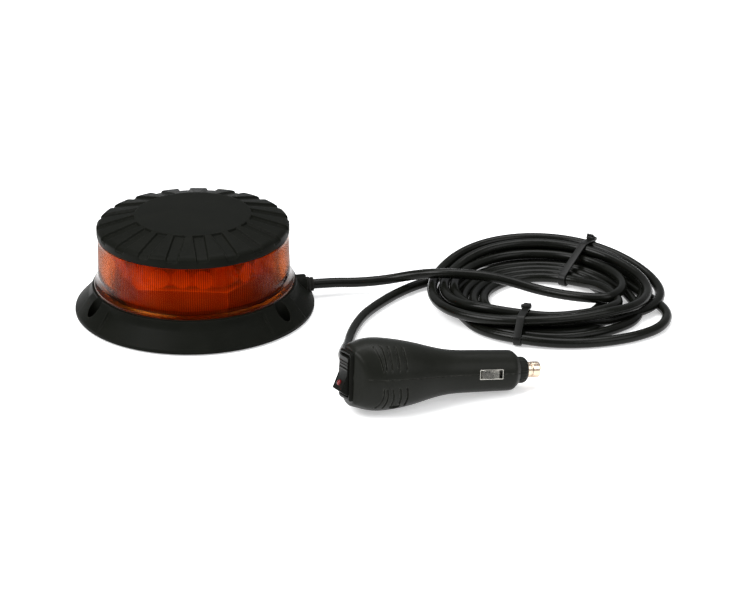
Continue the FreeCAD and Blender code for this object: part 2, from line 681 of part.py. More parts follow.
def make_switch_bezel():
    place = along(-sizes["bezel_tall"] / 2, -sizes["bezel_wide"] / 2, -sizes["bezel_thick"])
    slot = along(-sizes["slot_tall"] / 2, -sizes["slot_wide"] / 2, -3.0)
    plate = solid_box("bezel_plate", place, Length="bezel_thick", Width="bezel_wide", Height="bezel_tall")
    opening = solid_box("bezel_slot", slot, Length="6", Width="slot_wide", Height="slot_tall")
    return keep(cut("bezel_cut", plate, opening), "switch_bezel", plug_place)


def make_switch_case():
    outer = along(-sizes["case_tall"] / 2, -sizes["case_wide"] / 2, 0.0)
    inner = along(-sizes["slot_tall"] / 2, -sizes["slot_wide"] / 2, -1.0)
    block = solid_box("case_block", outer, Length="case_deep", Width="case_wide", Height="case_tall")
    well = solid_box("case_well", inner, Length="case_deep", Width="slot_wide", Height="slot_tall")
    bore = solid_cylinder("case_bore", along(0.0, 9.0, sizes["pivot_at"], to_side),
                          Radius="pin_radius", Height="18")
    tools = doc.addObject("Part::Fuse", "case_tools")
    tools.Base = well
    tools.Tool = bore
    return keep(cut("case_cut", block, tools), "switch_case", plug_place)


def rocker_place():
    """Rest pose of the rocker: its lower end stands out of the bezel."""
    pivot = Vector(sizes["pivot_at"], 0, 0)
    return Placement(Vector(), Rotation(Vector(0, 1, 0), sizes["rocker_tilt"]), pivot)


def make_rocker():
    reach = sizes["rocker_reach"]
    pivot = sizes["pivot_at"]
    face = 4.6
    shoulder = math.sqrt(reach ** 2 - face ** 2)
    outline = [
        Part.Arc(Vector(pivot - face, 0, shoulder), Vector(pivot - 3.1, 0, 0),
                 Vector(pivot - face, 0, -shoulder)),
        Part.Arc(Vector(pivot - face, 0, -shoulder), Vector(pivot - 2.3, 0, -math.sqrt(reach ** 2 - 2.3 ** 2)),
                 Vector(pivot, 0, -reach)),
        Part.LineSegment(Vector(pivot, 0, -reach), Vector(pivot + 5.5, 0, -3.0)),
        Part.LineSegment(Vector(pivot + 5.5, 0, -3.0), Vector(pivot + 5.5, 0, 3.0)),
        Part.LineSegment(Vector(pivot + 5.5, 0, 3.0), Vector(pivot, 0, reach)),
        Part.Arc(Vector(pivot, 0, reach), Vector(pivot - 2.3, 0, math.sqrt(reach ** 2 - 2.3 ** 2)),
                 Vector(pivot - face, 0, shoulder)),
    ]
    wide = float(sheet.get("rocker_wide"))
    wire = Part.Wire([curve.toShape() for curve in outline])
    block = Part.Face(wire).extrude(Vector(0, wide, 0))
    block.translate(Vector(0, -wide / 2, 0))
    bore = Part.makeCylinder(sizes["pin_radius"] + 0.05, wide + 2, Vector(pivot, -wide / 2 - 1, 0), Vector(0, 1, 0))
    seat = Part.makeCylinder(1.6, 3.0, Vector(pivot - 6.0, 0, -5.4), Vector(1, 0, 0))
    item = doc.addObject("Part::Feature", "rocker")
    item.Shape = block.cut([bore, seat])
    return keep(item, "rocker", plug_place * rocker_place())


def make_pilot_light():
    lamp = Part.makeCylinder(1.6, 1.6, Vector(sizes["pivot_at"] - 4.6, 0, -5.4), Vector(1, 0, 0))
    dome = Part.makeSphere(1.6, Vector(sizes["pivot_at"] - 4.6, 0, -5.4), Vector(-1, 0, 0), 0, 90)
    item = doc.addObject("Part::Feature", "pilot_light")
    item.Shape = lamp.fuse(dome).removeSplitter()
    return keep(item, "pilot_light", plug_place * rocker_place())


def make_rocker_pin():
    pin = solid_cylinder("pivot_pin", Radius="pin_radius", Height="case_wide")
    place = along(0.0, sizes["case_wide"] / 2, sizes["pivot_at"], to_side)
    return keep(pin, "rocker_pin", plug_place * place)


def make_nose_ring():
    body = start_body("nose_ring")
    sketch = start_sketch(body, "XY_Plane")
    draw_outline(sketch, [
        ("spigot_back", "ring_bore"), ("ring_front", "ring_bore"), ("ring_front", "ring_radius - 0.6"),
        ("ring_front - 0.6", "ring_radius"), ("plug_front + 0.1", "ring_radius"),
        ("plug_front + 0.1", "mouth_radius - 0.06"), ("spigot_back", "mouth_radius - 0.06"),
    ])
    revolve(body, sketch, "H_Axis")
    return keep(body, "nose_ring", plug_place)


def make_tip_contact():
    body = start_body("tip_contact")
    sketch = start_sketch(body, "XY_Plane")
    draw_outline(sketch, [
        ("spigot_back - collar_thick - 0.1", "0"), ("tip_front", "0"), ("tip_front", "tip_radius - 1.2"),
        ("tip_front - 1.2", "tip_radius"), ("tip_front - 2.4", "tip_radius"),
        ("tip_front - 2.8", "tip_radius - 0.5"), ("tip_front - 3.6", "tip_radius - 0.5"),
        ("tip_front - 4", "tip_radius"), ("spigot_back - 0.1", "tip_radius"),
        ("spigot_back - 0.1", "tip_collar"), ("spigot_back - collar_thick - 0.1", "tip_collar"),
    ])
    revolve(body, sketch, "H_Axis")
    slot = along(-0.5, -6.0, sizes["tip_front"] - 1.0)
    body_box(body, "Subtractive", slot, Length="2", Width="12", Height="1")
    return keep(body, "tip_contact", plug_place)


def make_fuse():
    end = sizes["spigot_back"] - sizes["collar_thick"] - 0.1
    place = along(0.0, 0.0, end - sizes["fuse_long"], to_tip)
    tube = solid_cylinder("fuse_tube", Radius="fuse_radius", Height="fuse_long")
    return keep(tube, "fuse", plug_place * place)


def make_tip_spring():
    """Plain sleeve of the spring's outer size; it shortens as the tip is pushed in."""
    end = sizes["spigot_back"] - sizes["collar_thick"] - 0.1 - sizes["fuse_long"]
    sleeve = ring("spring_sleeve", "spring_radius", "spring_radius - 1", "spring_long", Placement())
    return keep(sleeve, "tip_spring", plug_place * along(0.0, 0.0, end - sizes["spring_long"], to_tip))


def make_spring_seat():
    end = sizes["spigot_back"] - sizes["collar_thick"] - 0.1 - sizes["fuse_long"] - sizes["spring_long"]
    disc = solid_cylinder("seat_disc", Radius="tube_radius + 1", Height="2")
    return keep(disc, "spring_seat", plug_place * along(0.0, 0.0, end - 2.0, to_tip))


def make_side_contact(name, side):
    """Sprung earth contact: an arched strip on a flat foot."""
    half = sizes["window_long"] / 2 - 0.5
    at = sizes["window_at"]
    rise = sizes["contact_rise"]
    tall = sizes["window_tall"] - 0.7
    outer = Part.Arc(Vector(at - half, side * 8.9, 0), Vector(at, side * rise, 0), Vector(at + half, side * 8.9, 0))
    foot = [Vector(at + half, side * 7.4, 0), Vector(at - half, side * 7.4, 0)]
    edges = [
        outer.toShape(),
        Part.LineSegment(Vector(at + half, side * 8.9, 0), foot[0]).toShape(),
        Part.LineSegment(foot[0], foot[1]).toShape(),
        Part.LineSegment(foot[1], Vector(at - half, side * 8.9, 0)).toShape(),
    ]
    inner = Part.Arc(Vector(at - half + 1.2, side * 8.6, 0), Vector(at, side * (rise - 0.8), 0),
                     Vector(at + half - 1.2, side * 8.6, 0))
    sill = [Vector(at + half - 1.2, side * 8.1, 0), Vector(at - half + 1.2, side * 8.1, 0)]
    hollow = [
        inner.toShape(),
        Part.LineSegment(Vector(at + half - 1.2, side * 8.6, 0), sill[0]).toShape(),
        Part.LineSegment(sill[0], sill[1]).toShape(),
        Part.LineSegment(sill[1], Vector(at - half + 1.2, side * 8.6, 0)).toShape(),
    ]
    solid = Part.Face(Part.Wire(edges)).extrude(Vector(0, 0, tall))
    gap = Part.Face(Part.Wire(hollow)).extrude(Vector(0, 0, tall))
    item = doc.addObject("Part::Feature", "side_contact_" + name)
    item.Shape = solid.cut(gap)
    return keep(item, "side_contact_" + name, plug_place * along(-tall / 2))


make_base_housing()
make_base_pad()
for number, angle in enumerate(magnet_angles, start=1):
    make_magnet(number, angle)
make_cap_screws()
make_cord_grommet()
make_lower_seal()
make_upper_seal()
make_lens()
make_top_cap()
make_light_core()
for number in range(facets):
    make_light_facet(number)
make_driver_board()
make_driver_parts()
make_lead("beacon_lead", gland_route)
make_lead("plug_lead", plug_route)
make_cord_coil()
for name, angle in tie_angles.items():
    make_cable_tie(name, angle)
make_shell("upper", True)
make_shell("lower", False)
make_shell_screws()
make_strain_relief()
make_switch_bezel()
make_switch_case()
make_rocker()
make_pilot_light()
make_rocker_pin()
make_nose_ring()
make_tip_contact()
make_fuse()
make_tip_spring()
make_spring_seat()
make_side_contact("near", -1)
make_side_contact("far", 1)

doc.recompute()
for item in doc.Objects:
    if "Invalid" in item.State or "Error" in item.State:
        raise RuntimeError("failed feature: " + item.Label)
os.makedirs("parts", exist_ok=True)
for item in subparts:
    shape = item.Shape
    if shape.isNull() or not shape.isValid() or not shape.Solids:
        raise RuntimeError("bad shape: " + item.Label)
    box = shape.optimalBoundingBox(True, False)
    print("%-18s %2d solids %9.1f mm3  z %.2f to %.2f" % (item.Label, len(shape.Solids), shape.Volume,
                                                        box.ZMin, box.ZMax))
    shape.exportStep("parts/%s.step" % item.Label)
print(len(subparts), "sub-parts")
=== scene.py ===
# Amber LED beacon with a coiled cord and a switched 12 V plug.
import json
import math
import bpy
import bmesh
import numpy as np
from mathutils import Matrix, Vector


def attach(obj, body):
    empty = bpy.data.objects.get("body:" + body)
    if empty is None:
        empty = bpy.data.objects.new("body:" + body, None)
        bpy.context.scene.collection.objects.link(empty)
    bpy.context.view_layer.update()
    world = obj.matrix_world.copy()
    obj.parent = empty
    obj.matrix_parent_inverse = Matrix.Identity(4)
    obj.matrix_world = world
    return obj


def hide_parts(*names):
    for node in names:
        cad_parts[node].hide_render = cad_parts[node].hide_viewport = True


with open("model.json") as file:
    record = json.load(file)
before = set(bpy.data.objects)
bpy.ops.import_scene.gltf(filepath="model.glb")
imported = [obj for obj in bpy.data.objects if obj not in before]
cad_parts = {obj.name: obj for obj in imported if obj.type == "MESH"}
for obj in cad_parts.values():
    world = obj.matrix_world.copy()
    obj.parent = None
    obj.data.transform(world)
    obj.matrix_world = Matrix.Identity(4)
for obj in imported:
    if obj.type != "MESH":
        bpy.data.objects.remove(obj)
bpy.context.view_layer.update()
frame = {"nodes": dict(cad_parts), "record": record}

scene = bpy.context.scene
mm = 0.001

# camera: long lens, looking a little down along +Y
view = {"place": (0.0980, -1.3748, 0.6037), "down": 23.5768, "lens": 132.16}
cameraData = bpy.data.cameras.new("studioCamera")
cameraData.lens = view["lens"]
cameraData.sensor_width = 36.0
cameraData.clip_end = 20.0
studioCamera = bpy.data.objects.new("studioCamera", cameraData)
studioCamera.location = view["place"]
studioCamera.rotation_euler = (math.radians(90.0 - view["down"]), 0.0, 0.0)
scene.collection.objects.link(studioCamera)
scene.camera = studioCamera
scene.view_settings.view_transform = "Standard"
print("camera set")


# the cord is one spline from the gland through nine turns to the plug

cord = {
    "radius": 2.75, "centre": (188.0, 3.0), "step": 15.0, "firstStep": -1, "lastStep": 201,
    "gap": 5.62, "rounds": 170, "passes": 3, "start": 8.4, "perch": 1.2, "sink": 0.22, "pull": 0.10,
    "smooth": 0.30, "smoothest": 0.02, "push": 0.3, "looseFor": 0.75, "lastTurn": 8.0,
    # radius inside and outside the bundle, with bells: size, middle angle and half width
    "inner": 31.5, "innerBells": [(4.5, 258.0, 30.0), (-3.5, 85.0, 35.0)],
    "outer": 60.0, "outerBells": [(-1.5, 258.0, 22.0), (5.0, 105.0, 32.0), (3.0, -50.0, 22.0)],
    "fromGland": [(57.5, 13.3, 7.0), (74.0, 17.1, 6.9), (87.5, 18.6, 6.1), (103.5, 20.2, 6.9),
                  (118.0, 17.4, 11.0), (131.0, 11.6, 14.9), (146.0, 8.9, 15.3), (160.0, 8.4, 14.2),
                  (172.5, 7.6, 11.4), (185.0, 4.0, 8.6), (198.0, -1.6, 7.9), (209.5, -6.6, 8.3),
                  (219.0, -8.6, 8.4)],
    "toPlug": [(130.0, 28.5, 3.3), (119.0, 21.0, 3.0), (109.0, 9.8, 2.9), (99.6, -4.0, 2.9),
               (92.2, -17.5, 2.9), (87.9, -31.0, 2.9), (85.2, -44.0, 2.9), (84.0, -56.0, 3.1),
               (81.9, -68.0, 4.8), (81.2, -80.0, 7.4), (83.0, -91.8, 10.3), (87.6, -104.6, 13.4)],
    # place of each turn across the bundle, 0 inside and 1 outside: at the front tie, elsewhere
    "across": [(0.10, 0.62), (0.34, 0.80), (0.30, 0.98), (0.06, 0.72), (-0.02, 0.02),
               (0.50, 0.16), (0.68, 0.34), (0.86, 0.50), (1.04, 0.60)],
    "height": [8.3, 8.3, 13.5, 13.5, 2.75, 2.75, 2.75, 2.75, 2.75],
    "ties": {"front": 255.0, "back": 60.0}, "tieLift": 1.35,
}


def bell(angle, middle, half):
    # bell curve of the angle, 1 at its middle, with the angle wrapped to half a turn each way
    away = (angle - middle + 180.0) % 360.0 - 180.0
    return np.exp(-(away / half) ** 2)


def ease(value):
    # smooth step from 0 to 1: three times the square less twice the cube
    value = np.clip(value, 0.0, 1.0)
    return value * value * (3.0 - 2.0 * value)


def waved(size, bells, angle):
    # a size with bells of the angle added to it
    for bump, middle, half in bells:
        size = size + bump * bell(angle, middle, half)
    return size


def coilTurns():
    # radius is inner plus the width of the bundle times the turn's share of it; each turn keeps its
    # share and moves on to the next one at the right side, where the later turns swing wide
    angle = np.arange(cord["firstStep"], cord["lastStep"] + 1) * cord["step"]
    local = (angle + 180.0) % 360.0 - 180.0
    lap = np.floor((angle + 180.0) / 360.0)
    index = np.clip(lap - 1.0 + ease((local + 34.0) / 46.0), 0.0, cord["lastTurn"])
    low = np.floor(index).astype(int)
    high = np.minimum(low + 1, int(cord["lastTurn"]))
    part = index - low
    across = np.array(cord["across"])
    height = np.array(cord["height"])
    front = ease(bell(angle, 275.0, 52.0) * 1.6 - 0.25)
    atTie = across[low, 0] * (1.0 - part) + across[high, 0] * part
    away = across[low, 1] * (1.0 - part) + across[high, 1] * part
    share = atTie * front + away * (1.0 - front)
    share = share + 1.46 * ease((index - 5.4) / 1.9) * bell(angle, -24.0, 19.0)
    share = share + 0.52 * bell(index, 2.2, 1.3) * bell(angle, 8.0, 17.0)
    share = share + 0.42 * ease(index - 7.2) * np.exp(-((angle - 2912.0) / 15.0) ** 2)
    share = share + (1.0 - share) * ease((angle - (8 * 360 + 75)) / 60.0)
    inner = waved(cord["inner"], cord["innerBells"], angle)
    outer = waved(cord["outer"], cord["outerBells"], angle)
    radius = inner + (outer - inner) * share - 14.0 * np.exp(-((angle + 24.0) / 16.0) ** 2)
    level = height[low] * (1.0 - part) + height[high] * part
    return angle, radius, level


def settleTurns(angle, radius, level):
    # strands that share an angle are pushed a diameter apart, sink, and stay smooth along the cord;
    # at the back the tie holds the upper turns up, and under the lead no strand may rise
    home = radius.copy()
    perch = level + cord["perch"]
    held = 0.55 * bell(angle, 92.0, 38.0)
    plane = np.round(angle / cord["step"]).astype(int) % 24
    together = (plane[:, None] == plane[None, :]) & ~np.eye(len(angle), dtype=bool)
    floorLevel = cord["radius"] + sum(
        cord["tieLift"] * bell(angle, middle, 16.0) for middle in cord["ties"].values())
    calm = 1.0 - 0.6 * bell(angle, -8.0, 40.0)
    ceiling = 30.0 - 20.8 * ease(bell(angle, 166.0, 26.0) * 2.0)
    for turn in range(cord["rounds"]):
        loose = max(0.0, 1.0 - turn / (cord["rounds"] * cord["looseFor"]))
        radius = radius + cord["pull"] * loose * (home - radius)
        level = level - cord["sink"] * loose + held * loose * (perch - level)
        weight = (cord["smooth"] * loose + cord["smoothest"]) * calm
        radius[1:-1] += weight[1:-1] * ((radius[2:] + radius[:-2]) / 2 - radius[1:-1])
        level[1:-1] += weight[1:-1] * ((level[2:] + level[:-2]) / 2 - level[1:-1])
        radius[0] = home[0]
        level[0] = cord["start"]
        level[1] = max(level[1], cord["start"])
        for again in range(cord["passes"]):
            sideways = radius[:, None] - radius[None, :]
            upward = level[:, None] - level[None, :]
            apart = np.sqrt(sideways ** 2 + upward ** 2) + 1e-6
            push = np.where(together & (apart < cord["gap"]),
                            (cord["gap"] - apart) / apart * cord["push"], 0.0)
            radius = radius + (push * sideways).sum(axis=1)
            level = np.minimum(np.maximum(level + (push * upward).sum(axis=1), floorLevel), ceiling)
    return radius, level


coilAngle, coilRadius, coilLevel = coilTurns()
coilRadius, coilLevel = settleTurns(coilAngle, coilRadius, coilLevel)
coilPoints = np.stack([
    cord["centre"][0] + coilRadius * np.cos(np.radians(coilAngle)),
    cord["centre"][1] + coilRadius * np.sin(np.radians(coilAngle)), coilLevel], axis=1)
cordPoints = np.concatenate([np.array(cord["fromGland"]), coilPoints, np.array(cord["toPlug"])]) * mm

cordCurve = bpy.data.curves.new("cord", "CURVE")
cordCurve.dimensions = "3D"
cordCurve.bevel_depth = 1.0  # each point's own radius sets the thickness, which keeps the curve's box tight
cordCurve.bevel_resolution = 6
cordCurve.resolution_u = 8
cordCurve.use_fill_caps = True
cordSpline = cordCurve.splines.new("NURBS")
cordSpline.points.add(len(cordPoints) - 1)
cordRows = np.concatenate([cordPoints, np.ones((len(cordPoints), 1))], axis=1)
cordSpline.points.foreach_set("co", cordRows.ravel())
cordSpline.points.foreach_set("radius", np.full(len(cordPoints), cord["radius"] * mm))
cordSpline.order_u = 3
cordSpline.use_endpoint_u = True
cordPiece = bpy.data.objects.new("cord", cordCurve)
scene.collection.objects.link(cordPiece)


def splineLine(piece):
    # points along the cord's own line, read from a copy of the curve with no thickness
    bare = piece.data.copy()
    bare.bevel_depth = 0.0
    holder = bpy.data.objects.new("bare", bare)
    scene.collection.objects.link(holder)
    line = bpy.data.meshes.new_from_object(holder)
    place = np.empty(len(line.vertices) * 3)
    line.vertices.foreach_get("co", place)
    bpy.data.objects.remove(holder)
    bpy.data.meshes.remove(line)
    bpy.data.curves.remove(bare)
    return place.reshape(-1, 3)


cordLine = splineLine(cordPiece)


# mesh tools work in millimetres until the piece is made

def roundedProfile(corners, radius, closed=True, steps=5):
    # every corner becomes a short parabola between the points that lie one radius along its two sides
    point = np.array(corners, float)
    reach = np.broadcast_to(np.maximum(radius, 0.02), len(point))[:, None]

    def towards(other):
        side = other - point
        long = np.maximum(np.linalg.norm(side, axis=1, keepdims=True), 1e-9)
        return point + side / long * np.minimum(reach, 0.48 * long)

    start = towards(np.roll(point, 1, axis=0))[:, None]
    end = towards(np.roll(point, -1, axis=0))[:, None]
    along = np.linspace(0.0, 1.0, steps)[None, :, None]
    curve = (1 - along) ** 2 * start + 2 * along * (1 - along) * point[:, None] + along ** 2 * end
    if closed:
        return curve.reshape(-1, 2)
    return np.concatenate([point[:1], curve[1:-1].reshape(-1, 2), point[-1:]])


def gridPart(grid, wrapRows=False, poles=False):
    # a grid of rows and columns whose columns close on themselves; rows close too, or end in poles
    rows, columns = grid.shape[:2]
    index = np.arange(rows * columns).reshape(rows, columns)
    upper = index if wrapRows else index[:-1]
    lower = np.roll(index, -1, axis=0) if wrapRows else index[1:]
    faces = np.stack([upper, np.roll(upper, -1, axis=1), np.roll(lower, -1, axis=1), lower], axis=-1)
    points = grid.reshape(-1, 3)
    faces = faces.reshape(-1, 4).tolist()
    if poles:
        count = len(points)
        points = np.concatenate([points, [grid[0].mean(axis=0), grid[-1].mean(axis=0)]])
        first, last = index[0], index[-1]
        faces += np.stack([np.full(columns, count), np.roll(first, -1), first], axis=1).tolist()
        faces += np.stack([np.full(columns, count + 1), last, np.roll(last, -1)], axis=1).tolist()
    return points, faces


def rectangle(half, radius, steps=5):
    # rounded rectangle from its two half sizes
    corners = [(-half[0], -half[1]), (half[0], -half[1]), (half[0], half[1]), (-half[0], half[1])]
    return roundedProfile(corners, radius, steps=steps)


def overRows(values, flat):
    # one value for each row of a grid, spread over the row's columns
    return np.broadcast_to(values[:, None, None], flat.shape[:2] + (1,))


def turned(profile, columns):
    # radius and height of a profile carried round the upright axis
    angle = np.linspace(0.0, 2 * np.pi, columns, endpoint=False)
    radius, level = profile[:, :1], profile[:, 1:]
    return np.stack([radius * np.cos(angle), radius * np.sin(angle), level + 0.0 * angle], axis=-1)


def boxPart(low, high, radius=0.3):
    # rounded box: a rounded rectangle carried up through levels that draw in at both ends
    low, high = np.array(low, float), np.array(high, float)
    half = (high - low) / 2
    outline = rectangle(half, radius * 1.6)
    level = np.array([-half[2], -half[2] + radius * 0.3, -half[2] + radius,
                      half[2] - radius, half[2] - radius * 0.3, half[2]])
    draw = np.array([radius, radius * 0.3, 0.0, 0.0, radius * 0.3, radius])
    shrink = 1.0 - draw[:, None, None] / half[None, None, :2]
    flat = outline[None] * shrink
    grid = np.concatenate([flat, overRows(level, flat)], axis=2)
    return gridPart(grid + (low + high) / 2, poles=True)


def placed(part, matrix):
    # the points of a part, turned and moved by a 4 by 4 matrix
    points, faces = part
    turn = np.array(matrix)
    return points @ turn[:3, :3].T + turn[:3, 3], faces


def buildMesh(name, parts):
    # one mesh in metres from parts in millimetres, with doubled points joined and faces turned outwards
    points = np.concatenate([part[0] for part in parts]) * mm
    shift = np.cumsum([0] + [len(part[0]) for part in parts])
    faces = [[corner + int(first) for corner in face]
             for first, part in zip(shift, parts) for face in part[1]]
    mesh = bpy.data.meshes.new(name)
    mesh.from_pydata(points.tolist(), [], faces)
    shell = bmesh.new()
    shell.from_mesh(mesh)
    bmesh.ops.remove_doubles(shell, verts=shell.verts, dist=1e-7)
    bmesh.ops.dissolve_degenerate(shell, edges=shell.edges, dist=1e-7)
    bmesh.ops.recalc_face_normals(shell, faces=shell.faces)
    shell.to_mesh(mesh)
    shell.free()
    return mesh


def makePiece(name, parts, nodes, slot, body="beacon", look=None, add=(), cut=(), crease=34.0):
    # one piece from its parts; solids in add are joined on and solids in cut are taken away
    piece = bpy.data.objects.new(name, buildMesh(name, parts))
    scene.collection.objects.link(piece)
    for kind, solids in (("UNION", add), ("DIFFERENCE", cut)):
        for number, solid in enumerate(solids):
            tool = bpy.data.objects.new("tool", buildMesh("tool", [solid]))
            scene.collection.objects.link(tool)
            change = piece.modifiers.new(kind.lower(), "BOOLEAN")
            change.operation = kind
            change.solver = "EXACT"
            change.object = tool
            bpy.context.view_layer.update()
            solved = piece.evaluated_get(bpy.context.evaluated_depsgraph_get())
            result = bpy.data.meshes.new_from_object(solved)
            piece.modifiers.clear()
            piece.data = result
            bpy.data.objects.remove(tool)
    piece.data.name = name
    piece.data.materials.clear()
    piece.data.polygons.foreach_set("use_smooth", np.ones(len(piece.data.polygons), bool))
    piece.data.set_sharp_from_angle(angle=math.radians(crease))
    piece.data.materials.append(finish[look or slot])
    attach(piece, body)
    if nodes:
        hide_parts(*nodes)
    return piece


# shader groups that several finishes share

def newGroup(name, inputs, outputs):
    # a shader group with plain number sockets, and its own input and output nodes
    group = bpy.data.node_groups.new(name, "ShaderNodeTree")
    for label, value in inputs.items():
        socket = group.interface.new_socket(name=label, in_out="INPUT", socket_type="NodeSocketFloat")
        socket.default_value = value
    for label in outputs:
        group.interface.new_socket(name=label, in_out="OUTPUT", socket_type="NodeSocketFloat")
    return group, group.nodes.new("NodeGroupInput"), group.nodes.new("NodeGroupOutput")


def addNode(tree, kind, settings=None, **links):
    # a node with its settings, and with links or plain values for the sockets named
    node = tree.nodes.new("ShaderNode" + kind)
    for key, value in (settings or {}).items():
        setattr(node, key, value)
    for key, value in links.items():
        socket = node.inputs[int(key[1:])] if key[1:].isdigit() else node.inputs[key.replace("_", " ")]
        if isinstance(value, bpy.types.NodeSocket):
            tree.links.new(value, socket)
        else:
            socket.default_value = value
    return node


def mathNode(tree, operation, *values, clamp=False):
    # the result of one sum on sockets or numbers
    node = addNode(tree, "Math", {"operation": operation, "use_clamp": clamp},
                   **{"i%d" % number: value for number, value in enumerate(values)})
    return node.outputs[0]


def mouldGrainGroup():
    # Height: fine spark-eroded grain of two noises; Cloud: slow change over the piece
    group, start, end = newGroup("mouldGrain", {"Grain Size": 2600.0, "Cloud Size": 60.0},
                                 ["Height", "Cloud"])
    place = addNode(group, "TexCoord").outputs["Object"]
    fine = addNode(group, "TexNoise", Vector=place, Scale=start.outputs["Grain Size"], Detail=3.0,
                   Roughness=0.6)
    larger = mathNode(group, "MULTIPLY", start.outputs["Grain Size"], 0.31)
    coarse = addNode(group, "TexNoise", Vector=place, Scale=larger, Detail=2.0)
    cloud = addNode(group, "TexNoise", Vector=place, Scale=start.outputs["Cloud Size"], Detail=4.0)
    both = mathNode(group, "MULTIPLY_ADD", coarse.outputs["Fac"], 0.6, fine.outputs["Fac"])
    group.links.new(both, end.inputs["Height"])
    patches = mathNode(group, "MULTIPLY_ADD", cloud.outputs["Fac"], 2.4, -0.7, clamp=True)
    group.links.new(patches, end.inputs["Cloud"])
    return group


def edgeWearAndGlintGroup():
    # Mask: where the rounded normal leaves the true one, broken up by noise; it marks the paler edges, partly
    # wear and partly painted highlight
    group, start, end = newGroup("edgeWearAndGlint", {"Width": 0.0006, "Breakup": 500.0}, ["Mask"])
    shape = addNode(group, "NewGeometry")
    soft = addNode(group, "Bevel", {"samples": 4}, Radius=start.outputs["Width"])
    same = addNode(group, "VectorMath", {"operation": "DOT_PRODUCT"}, i0=shape.outputs["Normal"],
                   i1=soft.outputs["Normal"])
    bend = mathNode(group, "SUBTRACT", 1.0, same.outputs["Value"])
    place = addNode(group, "TexCoord").outputs["Object"]
    spots = addNode(group, "TexNoise", Vector=place, Scale=start.outputs["Breakup"], Detail=3.0)
    broken = mathNode(group, "MULTIPLY_ADD", spots.outputs["Fac"], 3.0, -0.9, clamp=True)
    edge = mathNode(group, "MULTIPLY", bend, 9.0, clamp=True)
    group.links.new(mathNode(group, "MULTIPLY", edge, broken), end.inputs["Mask"])
    return group


def settledDustGroup():
    # Mask: faces that look up, times a patchy noise
    group, start, end = newGroup("settledDust", {"Patch Size": 90.0}, ["Mask"])
    shape = addNode(group, "NewGeometry")
    up = addNode(group, "SeparateXYZ", i0=shape.outputs["Normal"]).outputs["Z"]
    place = addNode(group, "TexCoord").outputs["Object"]
    patch = addNode(group, "TexNoise", Vector=place, Scale=start.outputs["Patch Size"], Detail=6.0,
                    Roughness=0.7)
    spread = mathNode(group, "MULTIPLY_ADD", patch.outputs["Fac"], 3.0, -1.1, clamp=True)
    lit = mathNode(group, "MAXIMUM", up, 0.0)
    group.links.new(mathNode(group, "MULTIPLY", lit, spread), end.inputs["Mask"])
    return group


def fineScratchGroup():
    # Mask: thin lines where a stretched, warped noise passes its middle value
    group, start, end = newGroup("fineScratch", {"Length Scale": 120.0, "Fineness": 22.0}, ["Mask"])
    place = addNode(group, "TexCoord").outputs["Object"]
    tilt = addNode(group, "Mapping", Vector=place)
    tilt.inputs["Rotation"].default_value = (0.3, 0.2, 0.9)
    stretch = addNode(group, "CombineXYZ", i0=start.outputs["Fineness"], i1=1.0, i2=start.outputs["Fineness"])
    longer = addNode(group, "VectorMath", {"operation": "MULTIPLY"}, i0=tilt.outputs["Vector"],
                     i1=stretch.outputs["Vector"])
    lines = addNode(group, "TexNoise", Vector=longer.outputs["Vector"],
                    Scale=start.outputs["Length Scale"], Detail=2.0, Distortion=0.4)
    middle = mathNode(group, "ABSOLUTE", mathNode(group, "SUBTRACT", lines.outputs["Fac"], 0.5))
    thin = mathNode(group, "SUBTRACT", 1.0, mathNode(group, "MULTIPLY", middle, 70.0), clamp=True)
    group.links.new(thin, end.inputs["Mask"])
    return group


mouldGrain = mouldGrainGroup()
edgeWearAndGlint = edgeWearAndGlintGroup()
settledDust = settledDustGroup()
fineScratch = fineScratchGroup()


def placeGroup(tree, group, **values):
    # a copy of a shared group in a material, with its sockets set
    node = tree.nodes.new("ShaderNodeGroup")
    node.node_tree = group
    for key, value in values.items():
        node.inputs[key.replace("_", " ")].default_value = value
    return node


def blendColour(tree, factor, first, second):
    # first times one less the factor, plus second times the factor
    node = tree.nodes.new("ShaderNodeMix")
    node.data_type = "RGBA"
    for socket, value in ((node.inputs[0], factor), (node.inputs[6], first), (node.inputs[7], second)):
        if isinstance(value, bpy.types.NodeSocket):
            tree.links.new(value, socket)
        else:
            socket.default_value = value if isinstance(value, float) else (*value, 1.0)
    return node.outputs[2]


